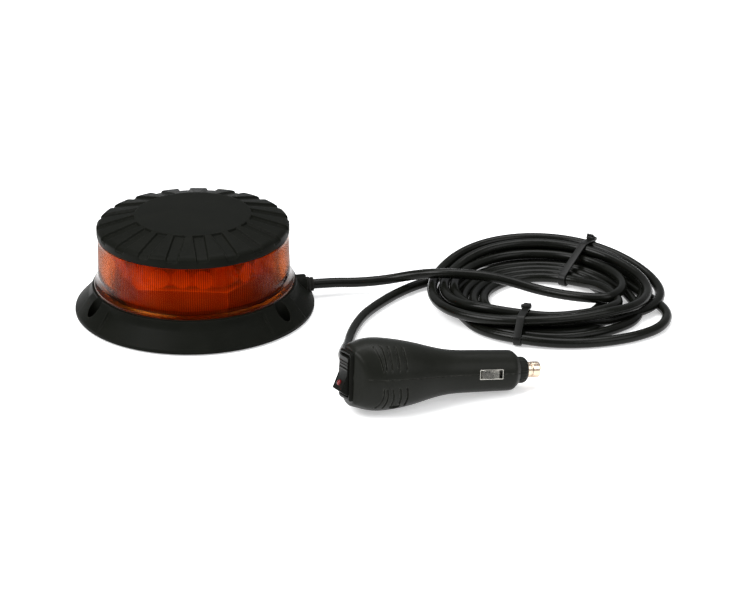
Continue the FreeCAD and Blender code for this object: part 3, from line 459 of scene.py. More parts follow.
def surface(name, dark, light, rough, grain=2600.0, cloud=60.0, height=0.00003, dust=0.0,
            dustColour=(0.2, 0.19, 0.17), wear=0.0, wearColour=(0.1, 0.1, 0.095), scratch=0.0,
            wearWidth=0.0006, lowTone=None, lowLevel=0.0, valleys=0, valleyTone=None, **plain):
    # moulded or metal surface: two tones by cloud, dust on top, fine scratches, and paler edges that are
    # partly wear and partly painted highlight, with roughness between two values and a bump from the grain;
    # below a height a darker tone replaces them as painted shade, and the valleys of upright flutes, found
    # from the angle about the axis, are darkened as painted shade
    material = bpy.data.materials.new(name)
    material.use_nodes = True
    tree = material.node_tree
    shader = tree.nodes["Principled BSDF"]
    body = placeGroup(tree, mouldGrain, Grain_Size=grain, Cloud_Size=cloud)
    colour = blendColour(tree, body.outputs["Cloud"], dark, light)
    gloss = mathNode(tree, "MULTIPLY_ADD", body.outputs["Cloud"], rough[1] - rough[0], rough[0])
    if lowTone or valleys:
        place = addNode(tree, "SeparateXYZ", i0=addNode(tree, "TexCoord").outputs["Object"])
    if valleys:
        # painted shade: the valleys of the upright flutes are darkened in the colour
        turn = mathNode(tree, "ARCTAN2", place.outputs["Y"], place.outputs["X"])
        phase = mathNode(tree, "MULTIPLY", turn, valleys / 2.0)
        ridge = mathNode(tree, "ABSOLUTE", mathNode(tree, "SINE", phase))
        valleyShade = mathNode(tree, "POWER", mathNode(tree, "SUBTRACT", 1.0, ridge), 0.8)
        colour = blendColour(tree, valleyShade, colour, valleyTone)
    if lowTone:
        # painted shade: below the given height the colour turns to a darker tone
        below = mathNode(tree, "MULTIPLY_ADD", place.outputs["Z"], -4000.0, lowLevel * 4000.0, clamp=True)
        colour = blendColour(tree, below, colour, lowTone)
    if wear:
        # paler edges: partly wear, partly painted highlight
        edge = placeGroup(tree, edgeWearAndGlint, Width=wearWidth)
        wornGlint = mathNode(tree, "MULTIPLY", edge.outputs["Mask"], wear)
        colour = blendColour(tree, wornGlint, colour, wearColour)
    if scratch:
        lines = placeGroup(tree, fineScratch)
        marked = mathNode(tree, "MULTIPLY", lines.outputs["Mask"], scratch)
        colour = blendColour(tree, marked, colour, wearColour)
        gloss = mathNode(tree, "MULTIPLY_ADD", lines.outputs["Mask"], scratch * 0.5, gloss)
    if dust:
        film = placeGroup(tree, settledDust)
        cover = mathNode(tree, "MULTIPLY", film.outputs["Mask"], dust)
        colour = blendColour(tree, cover, colour, dustColour)
        gloss = mathNode(tree, "MULTIPLY_ADD", cover, 0.4, gloss, clamp=True)
    tree.links.new(colour, shader.inputs["Base Color"])
    tree.links.new(gloss, shader.inputs["Roughness"])
    bump = addNode(tree, "Bump", Distance=height, Height=body.outputs["Height"])
    bump.inputs["Strength"].default_value = 0.8
    tree.links.new(bump.outputs["Normal"], shader.inputs["Normal"])
    for key, value in plain.items():
        shader.inputs[key.replace("_", " ")].default_value = value
    return material


def clearPlastic(name, tint, deeper, throughTint, rough, edgeShadeTone=None, **plain):
    # clear moulded plastic that is a little deeper in patches, and lets lamp light through to what is
    # inside; where the wall is seen edge on a darker tone is blended in, painted shade that stands for the
    # thicker, darker view through it
    material = surface(name, tint, deeper, rough, grain=1400.0, cloud=45.0, height=0.000006, **plain)
    tree = material.node_tree
    shader = tree.nodes["Principled BSDF"]
    if edgeShadeTone:
        # painted shade: the colour darkens where the wall is seen edge on
        layer = addNode(tree, "LayerWeight", Blend=0.5)
        thick = mathNode(tree, "MULTIPLY_ADD", layer.outputs["Facing"], 3.0, -1.0, clamp=True)
        inner = shader.inputs["Base Color"].links[0].from_socket
        tree.links.new(blendColour(tree, thick, inner, edgeShadeTone), shader.inputs["Base Color"])
    path = tree.nodes.new("ShaderNodeLightPath")
    through = addNode(tree, "BsdfTransparent", Color=(*throughTint, 1.0))
    either = addNode(tree, "MixShader", i0=path.outputs["Is Shadow Ray"], i1=shader.outputs[0],
                     i2=through.outputs[0])
    tree.links.new(either.outputs[0], tree.nodes["Material Output"].inputs["Surface"])
    return material


# paler edges on these finishes are partly wear and partly painted highlight
finish = {
    "black_plastic": surface("blackHousing", (0.0036, 0.0041, 0.0029), (0.0054, 0.0059, 0.0044), (0.42, 0.50),
                             grain=1900.0, height=0.00005, dust=0.006, wear=0.5,
                             wearColour=(0.024, 0.025, 0.020), scratch=0.02, Specular_IOR_Level=0.035),
    "plug_black": surface("plugShell", (0.0066, 0.0072, 0.0054), (0.0094, 0.0100, 0.0080), (0.30, 0.38),
                          grain=2600.0, height=0.00003, dust=0.008, wear=0.8,
                          wearColour=(0.050, 0.050, 0.044), scratch=0.05, Specular_IOR_Level=0.09),
    "rubber_pad": surface("basePad", (0.012, 0.012, 0.011), (0.020, 0.020, 0.018), (0.75, 0.9), grain=900.0,
                          height=0.0001, dust=0.1),
    "magnet": surface("magnetPlate", (0.52, 0.52, 0.50), (0.66, 0.66, 0.64), (0.22, 0.38), grain=1500.0,
                      height=0.00001, scratch=0.4, Metallic=1.0),
    "steel": surface("zincSteel", (0.50, 0.50, 0.48), (0.68, 0.68, 0.66), (0.25, 0.40), grain=1500.0,
                     height=0.00001, scratch=0.3, Metallic=1.0),
    "seal": surface("sealRubber", (0.007, 0.007, 0.006), (0.012, 0.012, 0.010), (0.60, 0.75), grain=1600.0,
                    height=0.00004, Specular_IOR_Level=0.15),
    "dark_screw": surface("blackedScrew", (0.030, 0.030, 0.028), (0.055, 0.055, 0.050), (0.30, 0.45),
                          grain=1500.0, height=0.00001, wear=0.4, wearColour=(0.2, 0.2, 0.19),
                          wearWidth=0.0002, Metallic=1.0),
    # the lens paints shade: darker flute valleys, a darker foot below 18.6 mm and a darker tone edge on; its
    # pale orange edges are painted highlight
    "amber_lens": clearPlastic("amberLens", (0.98, 0.195, 0.003), (0.94, 0.155, 0.002),
                               (0.99, 0.66, 0.14), (0.12, 0.17), edgeShadeTone=(0.080, 0.030, 0.009),
                               valleys=272, valleyTone=(0.36, 0.045, 0.001), lowTone=(0.20, 0.035, 0.002),
                               lowLevel=0.0186, wear=0.8, wearColour=(1.0, 0.60, 0.35), wearWidth=0.0003,
                               Transmission_Weight=1.0, IOR=1.22, Specular_Tint=(0.32, 0.12, 0.03, 1.0)),
    # the core is painted darker below 26.8 mm, painted shade under its shelf; its pale edges are painted
    # highlight
    "core": surface("reflectorCore", (0.48, 0.47, 0.44), (0.56, 0.55, 0.52), (0.30, 0.42), grain=1500.0,
                    height=0.00002, wear=0.3, wearColour=(0.8, 0.8, 0.78), lowTone=(0.22, 0.21, 0.19),
                    lowLevel=0.0268),
    "circuit_board": surface("whiteBoard", (0.52, 0.52, 0.49), (0.60, 0.60, 0.57), (0.32, 0.45), grain=2200.0,
                             height=0.00002),
    "emitter": surface("phosphor", (0.55, 0.45, 0.12), (0.62, 0.50, 0.16), (0.35, 0.5), grain=3000.0,
                       height=0.00002),
    "optic": clearPlastic("frostedOptic", (0.80, 0.80, 0.78), (0.74, 0.74, 0.72), (0.9, 0.9, 0.9),
                          (0.30, 0.40), Transmission_Weight=0.6, IOR=1.40),
    "driver_parts": surface("driverParts", (0.05, 0.05, 0.055), (0.09, 0.09, 0.09), (0.35, 0.55),
                            grain=1200.0),
    "cord_jacket": surface("cordJacket", (0.0028, 0.0032, 0.0022), (0.0048, 0.0052, 0.0038), (0.18, 0.26),
                           grain=1500.0, cloud=120.0, height=0.00003, dust=0.005, scratch=0.04,
                           Specular_IOR_Level=0.13),
    "tie_nylon": surface("tieNylon", (0.0040, 0.0042, 0.0036), (0.0062, 0.0064, 0.0055), (0.30, 0.42),
                         grain=2000.0, wear=0.2, Specular_IOR_Level=0.15),
    "rocker": surface("rockerBlack", (0.0040, 0.0043, 0.0034), (0.0062, 0.0065, 0.0054), (0.28, 0.36),
                      grain=2600.0, height=0.00002, wear=0.4, wearColour=(0.030, 0.030, 0.026),
                      Specular_IOR_Level=0.03),
    "pilot_red": surface("pilotRed", (0.14, 0.004, 0.006), (0.20, 0.007, 0.008), (0.12, 0.20), grain=1200.0,
                         height=0.00001, Transmission_Weight=0.25, Specular_IOR_Level=0.25),
    "nickel": surface("nickelContact", (0.64, 0.49, 0.36), (0.80, 0.66, 0.52), (0.14, 0.26), grain=1800.0,
                      height=0.00001, scratch=0.35, wear=0.4, wearColour=(0.9, 0.82, 0.70), wearWidth=0.0003,
                      Metallic=1.0),
    # the contact's dark base colour is a painted reflection of dark surroundings; its pale edges are partly
    # wear and partly painted highlight
    "worn_contact_painted_reflection": surface("wornContactPaintedReflection", (0.050, 0.050, 0.046), (0.16, 0.155, 0.14), (0.22, 0.34),
                            grain=1800.0, cloud=260.0, height=0.00001, scratch=0.5, wear=0.9,
                            wearColour=(0.80, 0.77, 0.70), wearWidth=0.0005, Metallic=1.0),
    "bright_rim": surface("brightRim", (0.42, 0.41, 0.37), (0.60, 0.58, 0.53), (0.25, 0.35), grain=1800.0,
                          height=0.00001, scratch=0.3, Metallic=1.0),
    "fuse_glass": clearPlastic("fuseGlass", (0.96, 0.97, 0.97), (0.92, 0.94, 0.94), (0.9, 0.9, 0.9),
                               (0.02, 0.05), Transmission_Weight=1.0, IOR=1.5),
}
print("finishes ready")


# turns that lay an upright axis along x, and along y
towardsTip = Matrix.Rotation(math.radians(90), 4, "Y")
towardsFar = Matrix.Rotation(math.radians(-90), 4, "X")

# beacon: housing, grommet, cap and lens
base = {
    "columns": 300, "lands": (207.0, 327.0, 87.0), "landHalf": 13.0, "landEdge": 0.9,
    "screwCircle": 58.0, "pocket": 4.3, "pocketFloor": 3.2, "hole": 2.6,
    "plain": [(0.5, 2.0), (52.2, 2.0), (52.2, 0.3), (64.2, 0.3), (65.0, 0.9), (65.0, 2.5), (64.4, 3.1),
              (57.2, 10.5), (56.1, 12.9), (55.3, 15.2), (50.5, 15.2), (50.5, 4.0), (0.5, 4.0)],
    "land": [(0.5, 2.0), (52.2, 2.0), (52.2, 0.3), (64.2, 0.3), (65.0, 0.9), (65.0, 2.6), (64.5, 3.4),
             (57.7, 12.1), (55.4, 14.5), (55.2, 15.2), (50.5, 15.2), (50.5, 4.0), (0.5, 4.0)],
    "round": [0.1, 0.2, 0.2, 0.3, 0.4, 0.4, 0.6, 1.1, 0.8, 0.3, 0.3, 0.4, 0.1],
    "glandAngle": 13.0, "glandHeight": 7.0, "boss": (6.0, 9.6, 52.0), "bore": (4.7, 20.0, 47.0),
}


def baseGrid():
    # flange profile carried round the axis, passing smoothly into the land profile near each pocket
    edges = np.add.outer(np.array(base["lands"]), np.array([-1.0, 1.0]) * base["landHalf"]).ravel()
    fine = np.add.outer(edges, np.linspace(-1.2, 1.2, 9)).ravel() % 360.0
    even = np.arange(base["columns"]) * 360.0 / base["columns"]
    angle = np.unique(np.round(np.concatenate([even, fine]), 3))
    away = np.abs((angle[:, None] - np.array(base["lands"]) + 180.0) % 360.0 - 180.0).min(axis=1)
    share = ease((base["landHalf"] + base["landEdge"] / 2 - away) / base["landEdge"])
    plain = roundedProfile(base["plain"], np.array(base["round"]), closed=False, steps=6)
    land = roundedProfile(base["land"], np.array(base["round"]), closed=False, steps=6)
    profile = plain[:, None] * (1 - share)[None, :, None] + land[:, None] * share[None, :, None]
    turn = np.radians(angle)
    radius, level = profile[..., 0], profile[..., 1]
    return np.stack([radius * np.cos(turn), radius * np.sin(turn), level], axis=-1)


def pocketTool(angle):
    # stepped rod for a screw hole and its wider pocket, at its angle on the screw circle
    stepped = roundedProfile([(0.05, -1.0), (base["hole"], -1.0), (base["hole"], base["pocketFloor"]),
                              (base["pocket"], base["pocketFloor"]), (base["pocket"], 20.0), (0.05, 20.0)],
                             [0.02, 0.02, 0.02, 0.5, 0.02, 0.02], closed=False)
    turn = math.radians(angle)
    circle = base["screwCircle"]
    shift = Matrix.Translation((circle * math.cos(turn), circle * math.sin(turn), 0.0))
    return placed(gridPart(turned(stepped, 48), poles=True), shift)


def alongGland(out):
    # frame whose upright axis points outwards along the cord's gland
    turn = math.radians(base["glandAngle"])
    centre = Vector((out * math.cos(turn), out * math.sin(turn), base["glandHeight"]))
    return Matrix.Translation(centre) @ Matrix.Rotation(turn, 4, "Z") @ towardsTip


def rodTool(radius, long, matrix, bevel=0.05):
    # round rod from the frame's origin along its upright axis
    line = roundedProfile([(0.05, 0.0), (radius, 0.0), (radius, long), (0.05, long)],
                          [0.02, bevel, bevel, 0.02], closed=False)
    return placed(gridPart(turned(line, 48), poles=True), matrix)


makePiece("base_housing_skin", [gridPart(baseGrid(), poles=True)], ["base_housing"], "black_plastic",
          add=[rodTool(*base["boss"][:2], alongGland(base["boss"][2]), 0.8)],
          cut=[pocketTool(angle) for angle in base["lands"]]
          + [rodTool(*base["bore"][:2], alongGland(base["bore"][2]))])
print("base housing made")

grommet = {"inner": 50.0, "outer": 65.6, "bore": 2.7, "radius": 4.68, "draw": 0.83, "drawFrom": 10.0,
           "drawOver": 5.6, "ringDeep": 0.35, "ringsFrom": 11.8, "ringsTo": 15.2, "firstRing": 12.2}
gromLong = grommet["outer"] - grommet["inner"]
gromLevel = np.linspace(0.0, gromLong, 60)
# a sleeve that draws in towards the cord, with shallow rings on the part outside the boss
gromDraw = grommet["draw"] * ease((gromLevel - grommet["drawFrom"]) / grommet["drawOver"])
gromRings = np.clip(np.cos(np.pi * (gromLevel - grommet["firstRing"]) * 1.1), 0.0, 1.0)
gromRadius = (grommet["radius"] - gromDraw - grommet["ringDeep"] * gromRings
              * (gromLevel > grommet["ringsFrom"]) * (gromLevel < grommet["ringsTo"]))
gromLine = np.concatenate([[(grommet["bore"], 0.0)], np.stack([gromRadius, gromLevel], axis=1),
                           [(3.3, gromLong + 0.05), (grommet["bore"], gromLong)]])
gromSleeve = gridPart(turned(gromLine, 56), wrapRows=True)
makePiece("cord_grommet_skin", [placed(gromSleeve, alongGland(grommet["inner"]))], ["cord_grommet"], "seal")

cap = {
    "columns": 900, "grooves": 20, "halfWidth": 3.0, "wall": 0.9, "deep": 1.15, "rimDeep": 1.25,
    "disc": 31.0, "turn": 9.0, "foot": (52.0, 47.0),
    "under": [(0.4, 52.0), (30.6, 52.0), (46.7, 46.8), (46.7, 41.9), (48.7, 41.9), (48.7, 43.9),
              (51.6, 43.9), (52.0, 44.3), (52.0, 46.0)],
    "over": [(52.0, 48.3), (50.2, 49.9), (31.0, 54.6), (0.4, 54.6)],
}


def capGrid():
    # cap profile carried round, then sunk along parallel-sided grooves that run from the disc to the rim
    under = roundedProfile(cap["under"] + [cap["foot"]], 0.35, closed=False, steps=5)
    over = roundedProfile([cap["foot"]] + cap["over"], [0.1, 0.9, 1.2, 0.5, 0.1], closed=False, steps=7)
    along = np.concatenate([np.linspace(over[14, 0] - 0.8, 33.4, 20), np.linspace(33.1, 30.6, 14)])
    along = np.sort(along)[::-1]
    level = np.interp(along, over[::-1, 0], over[::-1, 1])
    kept = np.concatenate([over[:15], np.stack([along, level], axis=1), over[over[:, 0] < 30.5]])
    profile = np.concatenate([under[:-1], kept])
    angle = np.linspace(0.0, 2 * np.pi, cap["columns"], endpoint=False)
    radius = np.broadcast_to(profile[:, :1], (len(profile), cap["columns"])).copy()
    level = np.broadcast_to(profile[:, 1:], radius.shape).copy()
    pitch = 2 * np.pi / cap["grooves"]
    away = np.abs((angle - math.radians(cap["turn"]) + pitch / 2) % pitch - pitch / 2)
    aside = radius * np.sin(away)[None, :]
    top = (np.arange(len(profile)) >= len(under) - 1)[:, None]
    inGroove = ease((cap["halfWidth"] + cap["wall"] / 2 - aside) / cap["wall"]) * top
    inner = ease((radius - cap["disc"] - 0.25) / 0.7)
    depth = cap["deep"] + (cap["rimDeep"] - cap["deep"]) * ease((radius - 40.0) / 11.0)
    level -= depth * inGroove * inner * ease((level - 47.2) / 1.2)
    radius -= 0.35 * inGroove * ease((radius - 50.5) / 1.2)
    return np.stack([radius * np.cos(angle), radius * np.sin(angle), level], axis=-1)


makePiece("top_cap_skin", [gridPart(capGrid(), poles=True)], ["top_cap"], "black_plastic", crease=28.0)
print("top cap made")

lens = {
    "flutes": 272, "perFlute": 6, "depth": 0.17, "from": 22.3, "to": 42.2, "middle": 30.0, "wall": 50.0,
    "outside": [(49.05, 15.62), (54.1, 15.62), (54.3, 15.9), (54.3, 17.0), (54.1, 17.3), (52.9, 18.6),
                (52.15, 20.6), (52.0, 21.4), (51.5, 43.38), (49.05, 43.38)],
}


def lensGrid():
    # wall profile carried round; its outside is fluted into fine upright prisms between two levels
    line = roundedProfile(lens["outside"], [0.1, 0.15, 0.15, 0.15, 0.3, 0.7, 0.5, 0.3, 0.2, 0.1], steps=3)
    tall = np.linspace(lens["from"] - 0.4, lens["to"] + 0.4, 14)
    wall = np.stack([52.0 - 0.5 * (tall - 21.4) / 22.0, tall], axis=1)
    split = np.argmax(line[:, 1] > lens["middle"])
    profile = np.concatenate([line[:split], wall, line[split:]])
    columns = lens["flutes"] * lens["perFlute"]
    grid = turned(profile, columns)
    wave = 1.0 - np.abs(np.sin(np.pi * np.arange(columns) / lens["perFlute"]))
    level = profile[:, 1]
    between = ease((level - lens["from"]) / 0.5) * ease((lens["to"] - level) / 0.5)
    between = between * (profile[:, 0] > lens["wall"])
    push = 1.0 - lens["depth"] * between[:, None] * wave[None, :] / 52.0
    grid[..., :2] *= push[..., None]
    return grid


makePiece("lens_skin", [gridPart(lensGrid(), wrapRows=True)], ["lens"], "amber_lens", crease=60.0)
print("lens made")


tie = {"wide": 4.0, "thick": 1.1, "directions": 96, "head": (5.4, 4.2, 2.3), "tail": 1.2,
       "headAt": {"front": 112.0, "back": 62.0}}


def tieParts(angle, headAt):
    # strap round the strands: for each direction the outermost strand's point, moved out by its radius
    steps = np.where(np.round(coilAngle).astype(int) % 360 == int(angle))[0]
    steps = steps[(steps > 0) & (steps < len(coilAngle) - 1)]
    middle = (coilPoints[steps - 1] + 6.0 * coilPoints[steps] + coilPoints[steps + 1]) / 8.0
    turn = math.radians(angle)
    outward = np.array([math.cos(turn), math.sin(turn), 0.0])
    sideways = np.array([-math.sin(turn), math.cos(turn), 0.0])
    centre = np.array([*cord["centre"], 0.0])
    flat = np.stack([(middle - centre) @ outward, middle[:, 2]], axis=1)
    way = np.linspace(0.0, 2 * np.pi, tie["directions"], endpoint=False)
    normal = np.stack([np.cos(way), np.sin(way)], axis=1)
    touch = flat[np.argmax(normal @ flat.T, axis=1)]
    edge = tie["wide"] / 2
    section = roundedProfile([(-edge, 0.05), (edge, 0.05), (edge, tie["thick"]), (-edge, tie["thick"])],
                             0.25, steps=4)
    across, out = section[:, 0][:, None], section[:, 1][:, None]
    reach = cord["radius"] + out
    strap = (centre + (touch[:, 0] + reach * normal[:, 0])[..., None] * outward
             + across[..., None] * sideways
             + (touch[:, 1] + reach * normal[:, 1])[..., None] * np.array([0, 0, 1.0]))
    lead = math.radians(headAt)
    out3 = math.cos(lead) * outward + np.array([0, 0, math.sin(lead)])
    run3 = -math.sin(lead) * outward + np.array([0, 0, math.cos(lead)])
    spot = flat[np.argmax(flat @ np.array([math.cos(lead), math.sin(lead)]))]
    seat = (centre + spot[0] * outward + np.array([0, 0, spot[1]])
            + out3 * (cord["radius"] + tie["thick"] * 0.4))
    axes = np.stack([sideways, run3, out3], axis=1)
    place = Matrix([[*row, shift] for row, shift in zip(axes, seat)] + [[0, 0, 0, 1]])
    wide, long, tall = tie["head"]
    head = placed(boxPart((-wide / 2, -long / 2, 0.0), (wide / 2, long / 2, tall), 0.6), place)
    tilt = Matrix.Translation((0.0, 0.4, tall * 0.55)) @ Matrix.Rotation(math.radians(24), 4, "X")
    tail = placed(boxPart((-edge, 0.0, -0.5), (edge, long / 2 + tie["tail"], 0.5), 0.2), place @ tilt)
    return [gridPart(strap, wrapRows=True), head, tail]


for end in ("front", "back"):
    makePiece("cable_tie_%s_strap" % end, tieParts(cord["ties"][end], tie["headAt"][end]),
              ["cable_tie_" + end], "tie_nylon")
print("ties made")


# the plug is drawn along its own axis: x to the tip, z up from the parting plane
plug = {
    "origin": (84.5, -131.3, 20.45), "turn": (18.2, 6.65, -13.0),
    "outline": [(0.0, 0.3), (0.0, 15.4), (10.6, 19.25), (30.5, 16.6), (47.4, 12.15), (56.0, 11.0),
                (87.2, 10.35), (90.0, 7.9), (90.0, 0.3)],
    "round": [0.1, 1.7, 9.5, 9.0, 8.0, 6.0, 1.3, 0.5, 0.1],
    "cheekFrom": 8.4, "cheekBack": 0.72, "bellyOn": 2.2,
    "grips": [9.0, 13.0, 17.0, 21.0, 25.0], "gripDeep": 0.75, "gripFrom": 13.0, "gripTo": 60.0, "seam": 0.22,
    "switchWell": ((-3.0, -6.85, -10.4), (12.6, 6.85, 10.4)),
    "mouth": (4.75, 14.0), "mouthAt": (12.0, 10.5, 0.0),
    "screwWell": (2.6, 22.0), "screwSides": (-9.6, 9.6), "screwFrom": -22.0, "screwTo": -12.6,
}
yaw, pitch, roll = (math.radians(value) for value in plug["turn"])
plugFrame = (Matrix.Translation(plug["origin"]) @ Matrix.Rotation(yaw, 4, "Z")
             @ Matrix.Rotation(pitch, 4, "Y") @ Matrix.Rotation(roll, 4, "X"))


def plugGrid():
    # outline carried round the plug's axis, sunk at the grip grooves on both cheeks and at the parting
    # line; the rear cheeks are drawn back in proportion to how far out they lie
    outline = roundedProfile(plug["outline"], np.array(plug["round"]), closed=False, steps=9)
    front = np.argmax(outline[:, 0] > 1.5)
    back = np.argmax(outline[:, 0] > 87.0)
    side = np.unique(np.concatenate([np.linspace(2.0, 30.0, 130), np.linspace(30.0, 86.8, 60)]))
    level = np.interp(side, outline[:, 0], outline[:, 1])
    face = np.stack([np.zeros(16), np.linspace(1.0, outline[1, 1] - 0.3, 16)], axis=1)
    wallRows = np.stack([side, level], axis=1)
    profile = np.concatenate([outline[:1], face, outline[1:front], wallRows, outline[back:]])
    seams = np.array([0.0, 180.0])
    around = np.unique(np.round(np.concatenate([
        np.arange(0.0, 360.0, 2.0), np.add.outer(seams, np.linspace(-2.0, 2.0, 13)).ravel() % 360.0]), 3))
    turn = np.radians(around)
    radius = np.repeat(profile[:, 1:], len(around), axis=1)
    fromSeam = np.degrees(np.arctan2(np.abs(np.sin(turn)), np.abs(np.cos(turn))))
    cheek = ease((fromSeam - plug["gripFrom"]) / 3.0) * ease((plug["gripTo"] - fromSeam) / 3.0)
    off = np.abs(profile[:, :1] - np.array(plug["grips"])).min(axis=1)
    groove = 1.0 - ease((off - 0.25) / 0.5)
    wall = ease((profile[:, 1] - 6.0) / 2.0) * (profile[:, 0] > 0.4)
    radius -= plug["gripDeep"] * groove[:, None] * cheek[None, :]
    radius -= plug["seam"] * wall[:, None] * np.exp(-(radius * np.sin(np.radians(fromSeam)) / 0.16) ** 2)
    along = np.repeat(profile[:, :1], len(around), axis=1)
    across, high = radius * np.cos(turn), radius * np.sin(turn)
    below = ease(-high / 12.0) * ease(along / 9.0) * ease((46.0 - along) / 26.0)
    outward = np.clip(np.abs(across) - plug["cheekFrom"], 0.0, 9.5)
    back = plug["cheekBack"] * outward * ease((17.0 - along) / 15.0)
    return np.stack([along + back + plug["bellyOn"] * below, across, high], axis=-1)


def plugRod(radius, at, side, low, high):
    # upright rod in the plug's frame
    shift = plugFrame @ Matrix.Translation((at, side, low))
    return rodTool(radius, high - low, shift)


window = {"at": 73.0, "long": 12.6, "tall": 5.0, "floor": 8.7, "outside": 14.0}


def windowTool(way):
    # box from the window's floor out past the wall, on the side given by way
    floor, outside = way * window["floor"], way * window["outside"]
    low = (window["at"] - window["long"] / 2, min(floor, outside), -window["tall"] / 2)
    high = (window["at"] + window["long"] / 2, max(floor, outside), window["tall"] / 2)
    return placed(boxPart(low, high, 0.35), plugFrame)


windows = [windowTool(-1), windowTool(1)]
switchWell = placed(boxPart(*plug["switchWell"], 0.3), plugFrame)
screwWells = [plugRod(*plug["screwWell"], side, plug["screwFrom"], plug["screwTo"])
              for side in plug["screwSides"]]
mouth = rodTool(*plug["mouth"], plugFrame @ Matrix.Translation(plug["mouthAt"]) @ towardsFar)
makePiece("plug_shell_skin", [placed(gridPart(plugGrid(), poles=True), plugFrame)],
          ["plug_shell_upper", "plug_shell_lower"], "black_plastic", look="plug_black",
          cut=windows + [switchWell] + screwWells + [mouth], crease=30.0)
rim = {"at": 9.5, "high": 1.12, "wall": 0.32}


def rimPart(way):
    # small rectangular section carried round the window, facing out on the side given by way
    def outline(inset):
        return rectangle((window["long"] / 2 - inset, window["tall"] / 2 - inset), 0.4)

    section = roundedProfile([(0.0, 0.0), (1.0, 0.0), (1.0, rim["high"]), (0.0, rim["high"])], 0.1, steps=4)
    share = section[:, 0][:, None, None]
    flat = outline(rim["wall"])[None] * (1 - share) + outline(-0.02)[None] * share
    out = way * (rim["at"] + overRows(section[:, 1], flat))
    grid = np.concatenate([flat[..., :1] + window["at"], out, flat[..., 1:]], axis=2)
    return placed(gridPart(grid, wrapRows=True), plugFrame)


makePiece("contact_window_rims", [rimPart(-1), rimPart(1)], [], "nickel", look="bright_rim")
print("plug shell made")

relief = {"from": 11.0, "to": 31.0, "base": 4.68, "end": 3.75, "ringDeep": 0.5, "ringsFrom": 19.4,
          "ringsTo": 29.6, "pitch": 2.2, "bore": 2.72, "along": 12.0}
reliefLevel = np.linspace(relief["from"], relief["to"], 90)
reliefShare = (reliefLevel - relief["from"]) / (relief["to"] - relief["from"])
# straight taper less a row of soft rings past the shell's cheek
reliefRings = np.clip(np.sin((reliefLevel - relief["ringsFrom"]) * 2 * np.pi / relief["pitch"]), 0.0, 1.0)
reliefRadius = (relief["base"] + (relief["end"] - relief["base"]) * reliefShare
                - relief["ringDeep"] * reliefRings * (reliefLevel > relief["ringsFrom"])
                * (reliefLevel < relief["ringsTo"]))
reliefLine = np.concatenate([[(relief["bore"], relief["from"])],
                             np.stack([reliefRadius, reliefLevel], axis=1),
                             [(3.2, relief["to"] + 0.1), (relief["bore"], relief["to"])]])
reliefPlace = plugFrame @ Matrix.Translation((relief["along"], 0, 0)) @ towardsFar
makePiece("strain_relief_sleeve", [placed(gridPart(turned(reliefLine, 56), wrapRows=True), reliefPlace)],
          ["strain_relief"], "black_plastic", look="cord_jacket")

bezel = {"outer": (8.5, 12.5), "inner": (6.8, 10.35), "thick": 1.8, "corner": 2.2}


def bezelPart():
    # cross-section carried round from the inner to the outer rounded rectangle
    inner = rectangle(bezel["inner"], 0.9, steps=8)
    outer = rectangle(bezel["outer"], bezel["corner"], steps=8)
    step = bezel["outer"][0] - bezel["inner"][0]
    section = roundedProfile([(0.0, 0.0), (step, 0.0), (step, -1.1), (step - 0.55, -bezel["thick"]),
                              (0.3, -bezel["thick"]), (0.0, -1.4)], 0.22, steps=4)
    share = (section[:, 0] / step)[:, None, None]
    flat = inner[None] * (1 - share) + outer[None] * share
    grid = np.concatenate([overRows(section[:, 1], flat), flat], axis=2)
    return placed(gridPart(grid, wrapRows=True), plugFrame)


makePiece("switch_bezel_frame", [bezelPart()], ["switch_bezel"], "black_plastic", look="rocker")

rocker = {"pivot": 1.0, "rest": 11.0, "reach": 10.0, "face": 5.4, "dip": 3.9, "ribs": (2.6, 4.2, 5.8),
          "ribDeep": 0.32, "rows": [(-6.5, 0.94), (-6.44, 0.972), (-6.2, 0.992), (-5.8, 1.0),
                                    (5.8, 1.0), (6.2, 0.992), (6.44, 0.972), (6.5, 0.94)]}
rockerFrame = (plugFrame @ Matrix.Translation((rocker["pivot"], 0, 0))
               @ Matrix.Rotation(math.radians(rocker["rest"]), 4, "Y"))


def rockerPart():
    # side outline of the rocker, its face dished and ribbed on the upper half, carried across its width
    high = math.sqrt(rocker["reach"] ** 2 - rocker["face"] ** 2)
    level = np.linspace(high, -high, 90)
    face = -(rocker["dip"] + (rocker["face"] - rocker["dip"]) * (level / high) ** 2)
    near = np.abs(level[:, None] - np.array(rocker["ribs"])).min(axis=1)
    face = face - rocker["ribDeep"] * (1.0 - ease((near - 0.2) / 0.4))
    bend = np.linspace(math.asin(rocker["face"] / rocker["reach"]), 0.0, 8)[1:]
    lower = np.stack([-rocker["reach"] * np.sin(bend), -rocker["reach"] * np.cos(bend)], axis=1)
    line = np.concatenate([np.stack([face, level], axis=1), lower, [(5.5, -3.0), (5.5, 3.0)],
                           lower[::-1] * (1, -1)])
    across, draw = np.array(rocker["rows"]).T
    flat = line[None] * draw[:, None, None]
    grid = np.concatenate([flat[..., :1], overRows(across, flat), flat[..., 1:]], axis=2)
    return placed(gridPart(grid, poles=True), rockerFrame)


makePiece("rocker_key", [rockerPart()], ["rocker"], "rocker", body="rocker_switch")
pilot = {"line": [(0.05, -0.6), (1.5, -0.6), (1.5, 0.7), (1.05, 1.5), (0.05, 1.75)],
         "round": [0.02, 0.1, 0.7, 0.9, 0.5], "at": (-4.05, 0.0, -4.9)}
pilotLine = roundedProfile(pilot["line"], pilot["round"], closed=False, steps=8)
pilotPlace = rockerFrame @ Matrix.Translation(pilot["at"]) @ Matrix.Rotation(math.radians(-90), 4, "Y")
makePiece("pilot_light_dome", [placed(gridPart(turned(pilotLine, 40), poles=True), pilotPlace)],
          ["pilot_light"], "pilot_red", body="rocker_switch")
print("switch made")

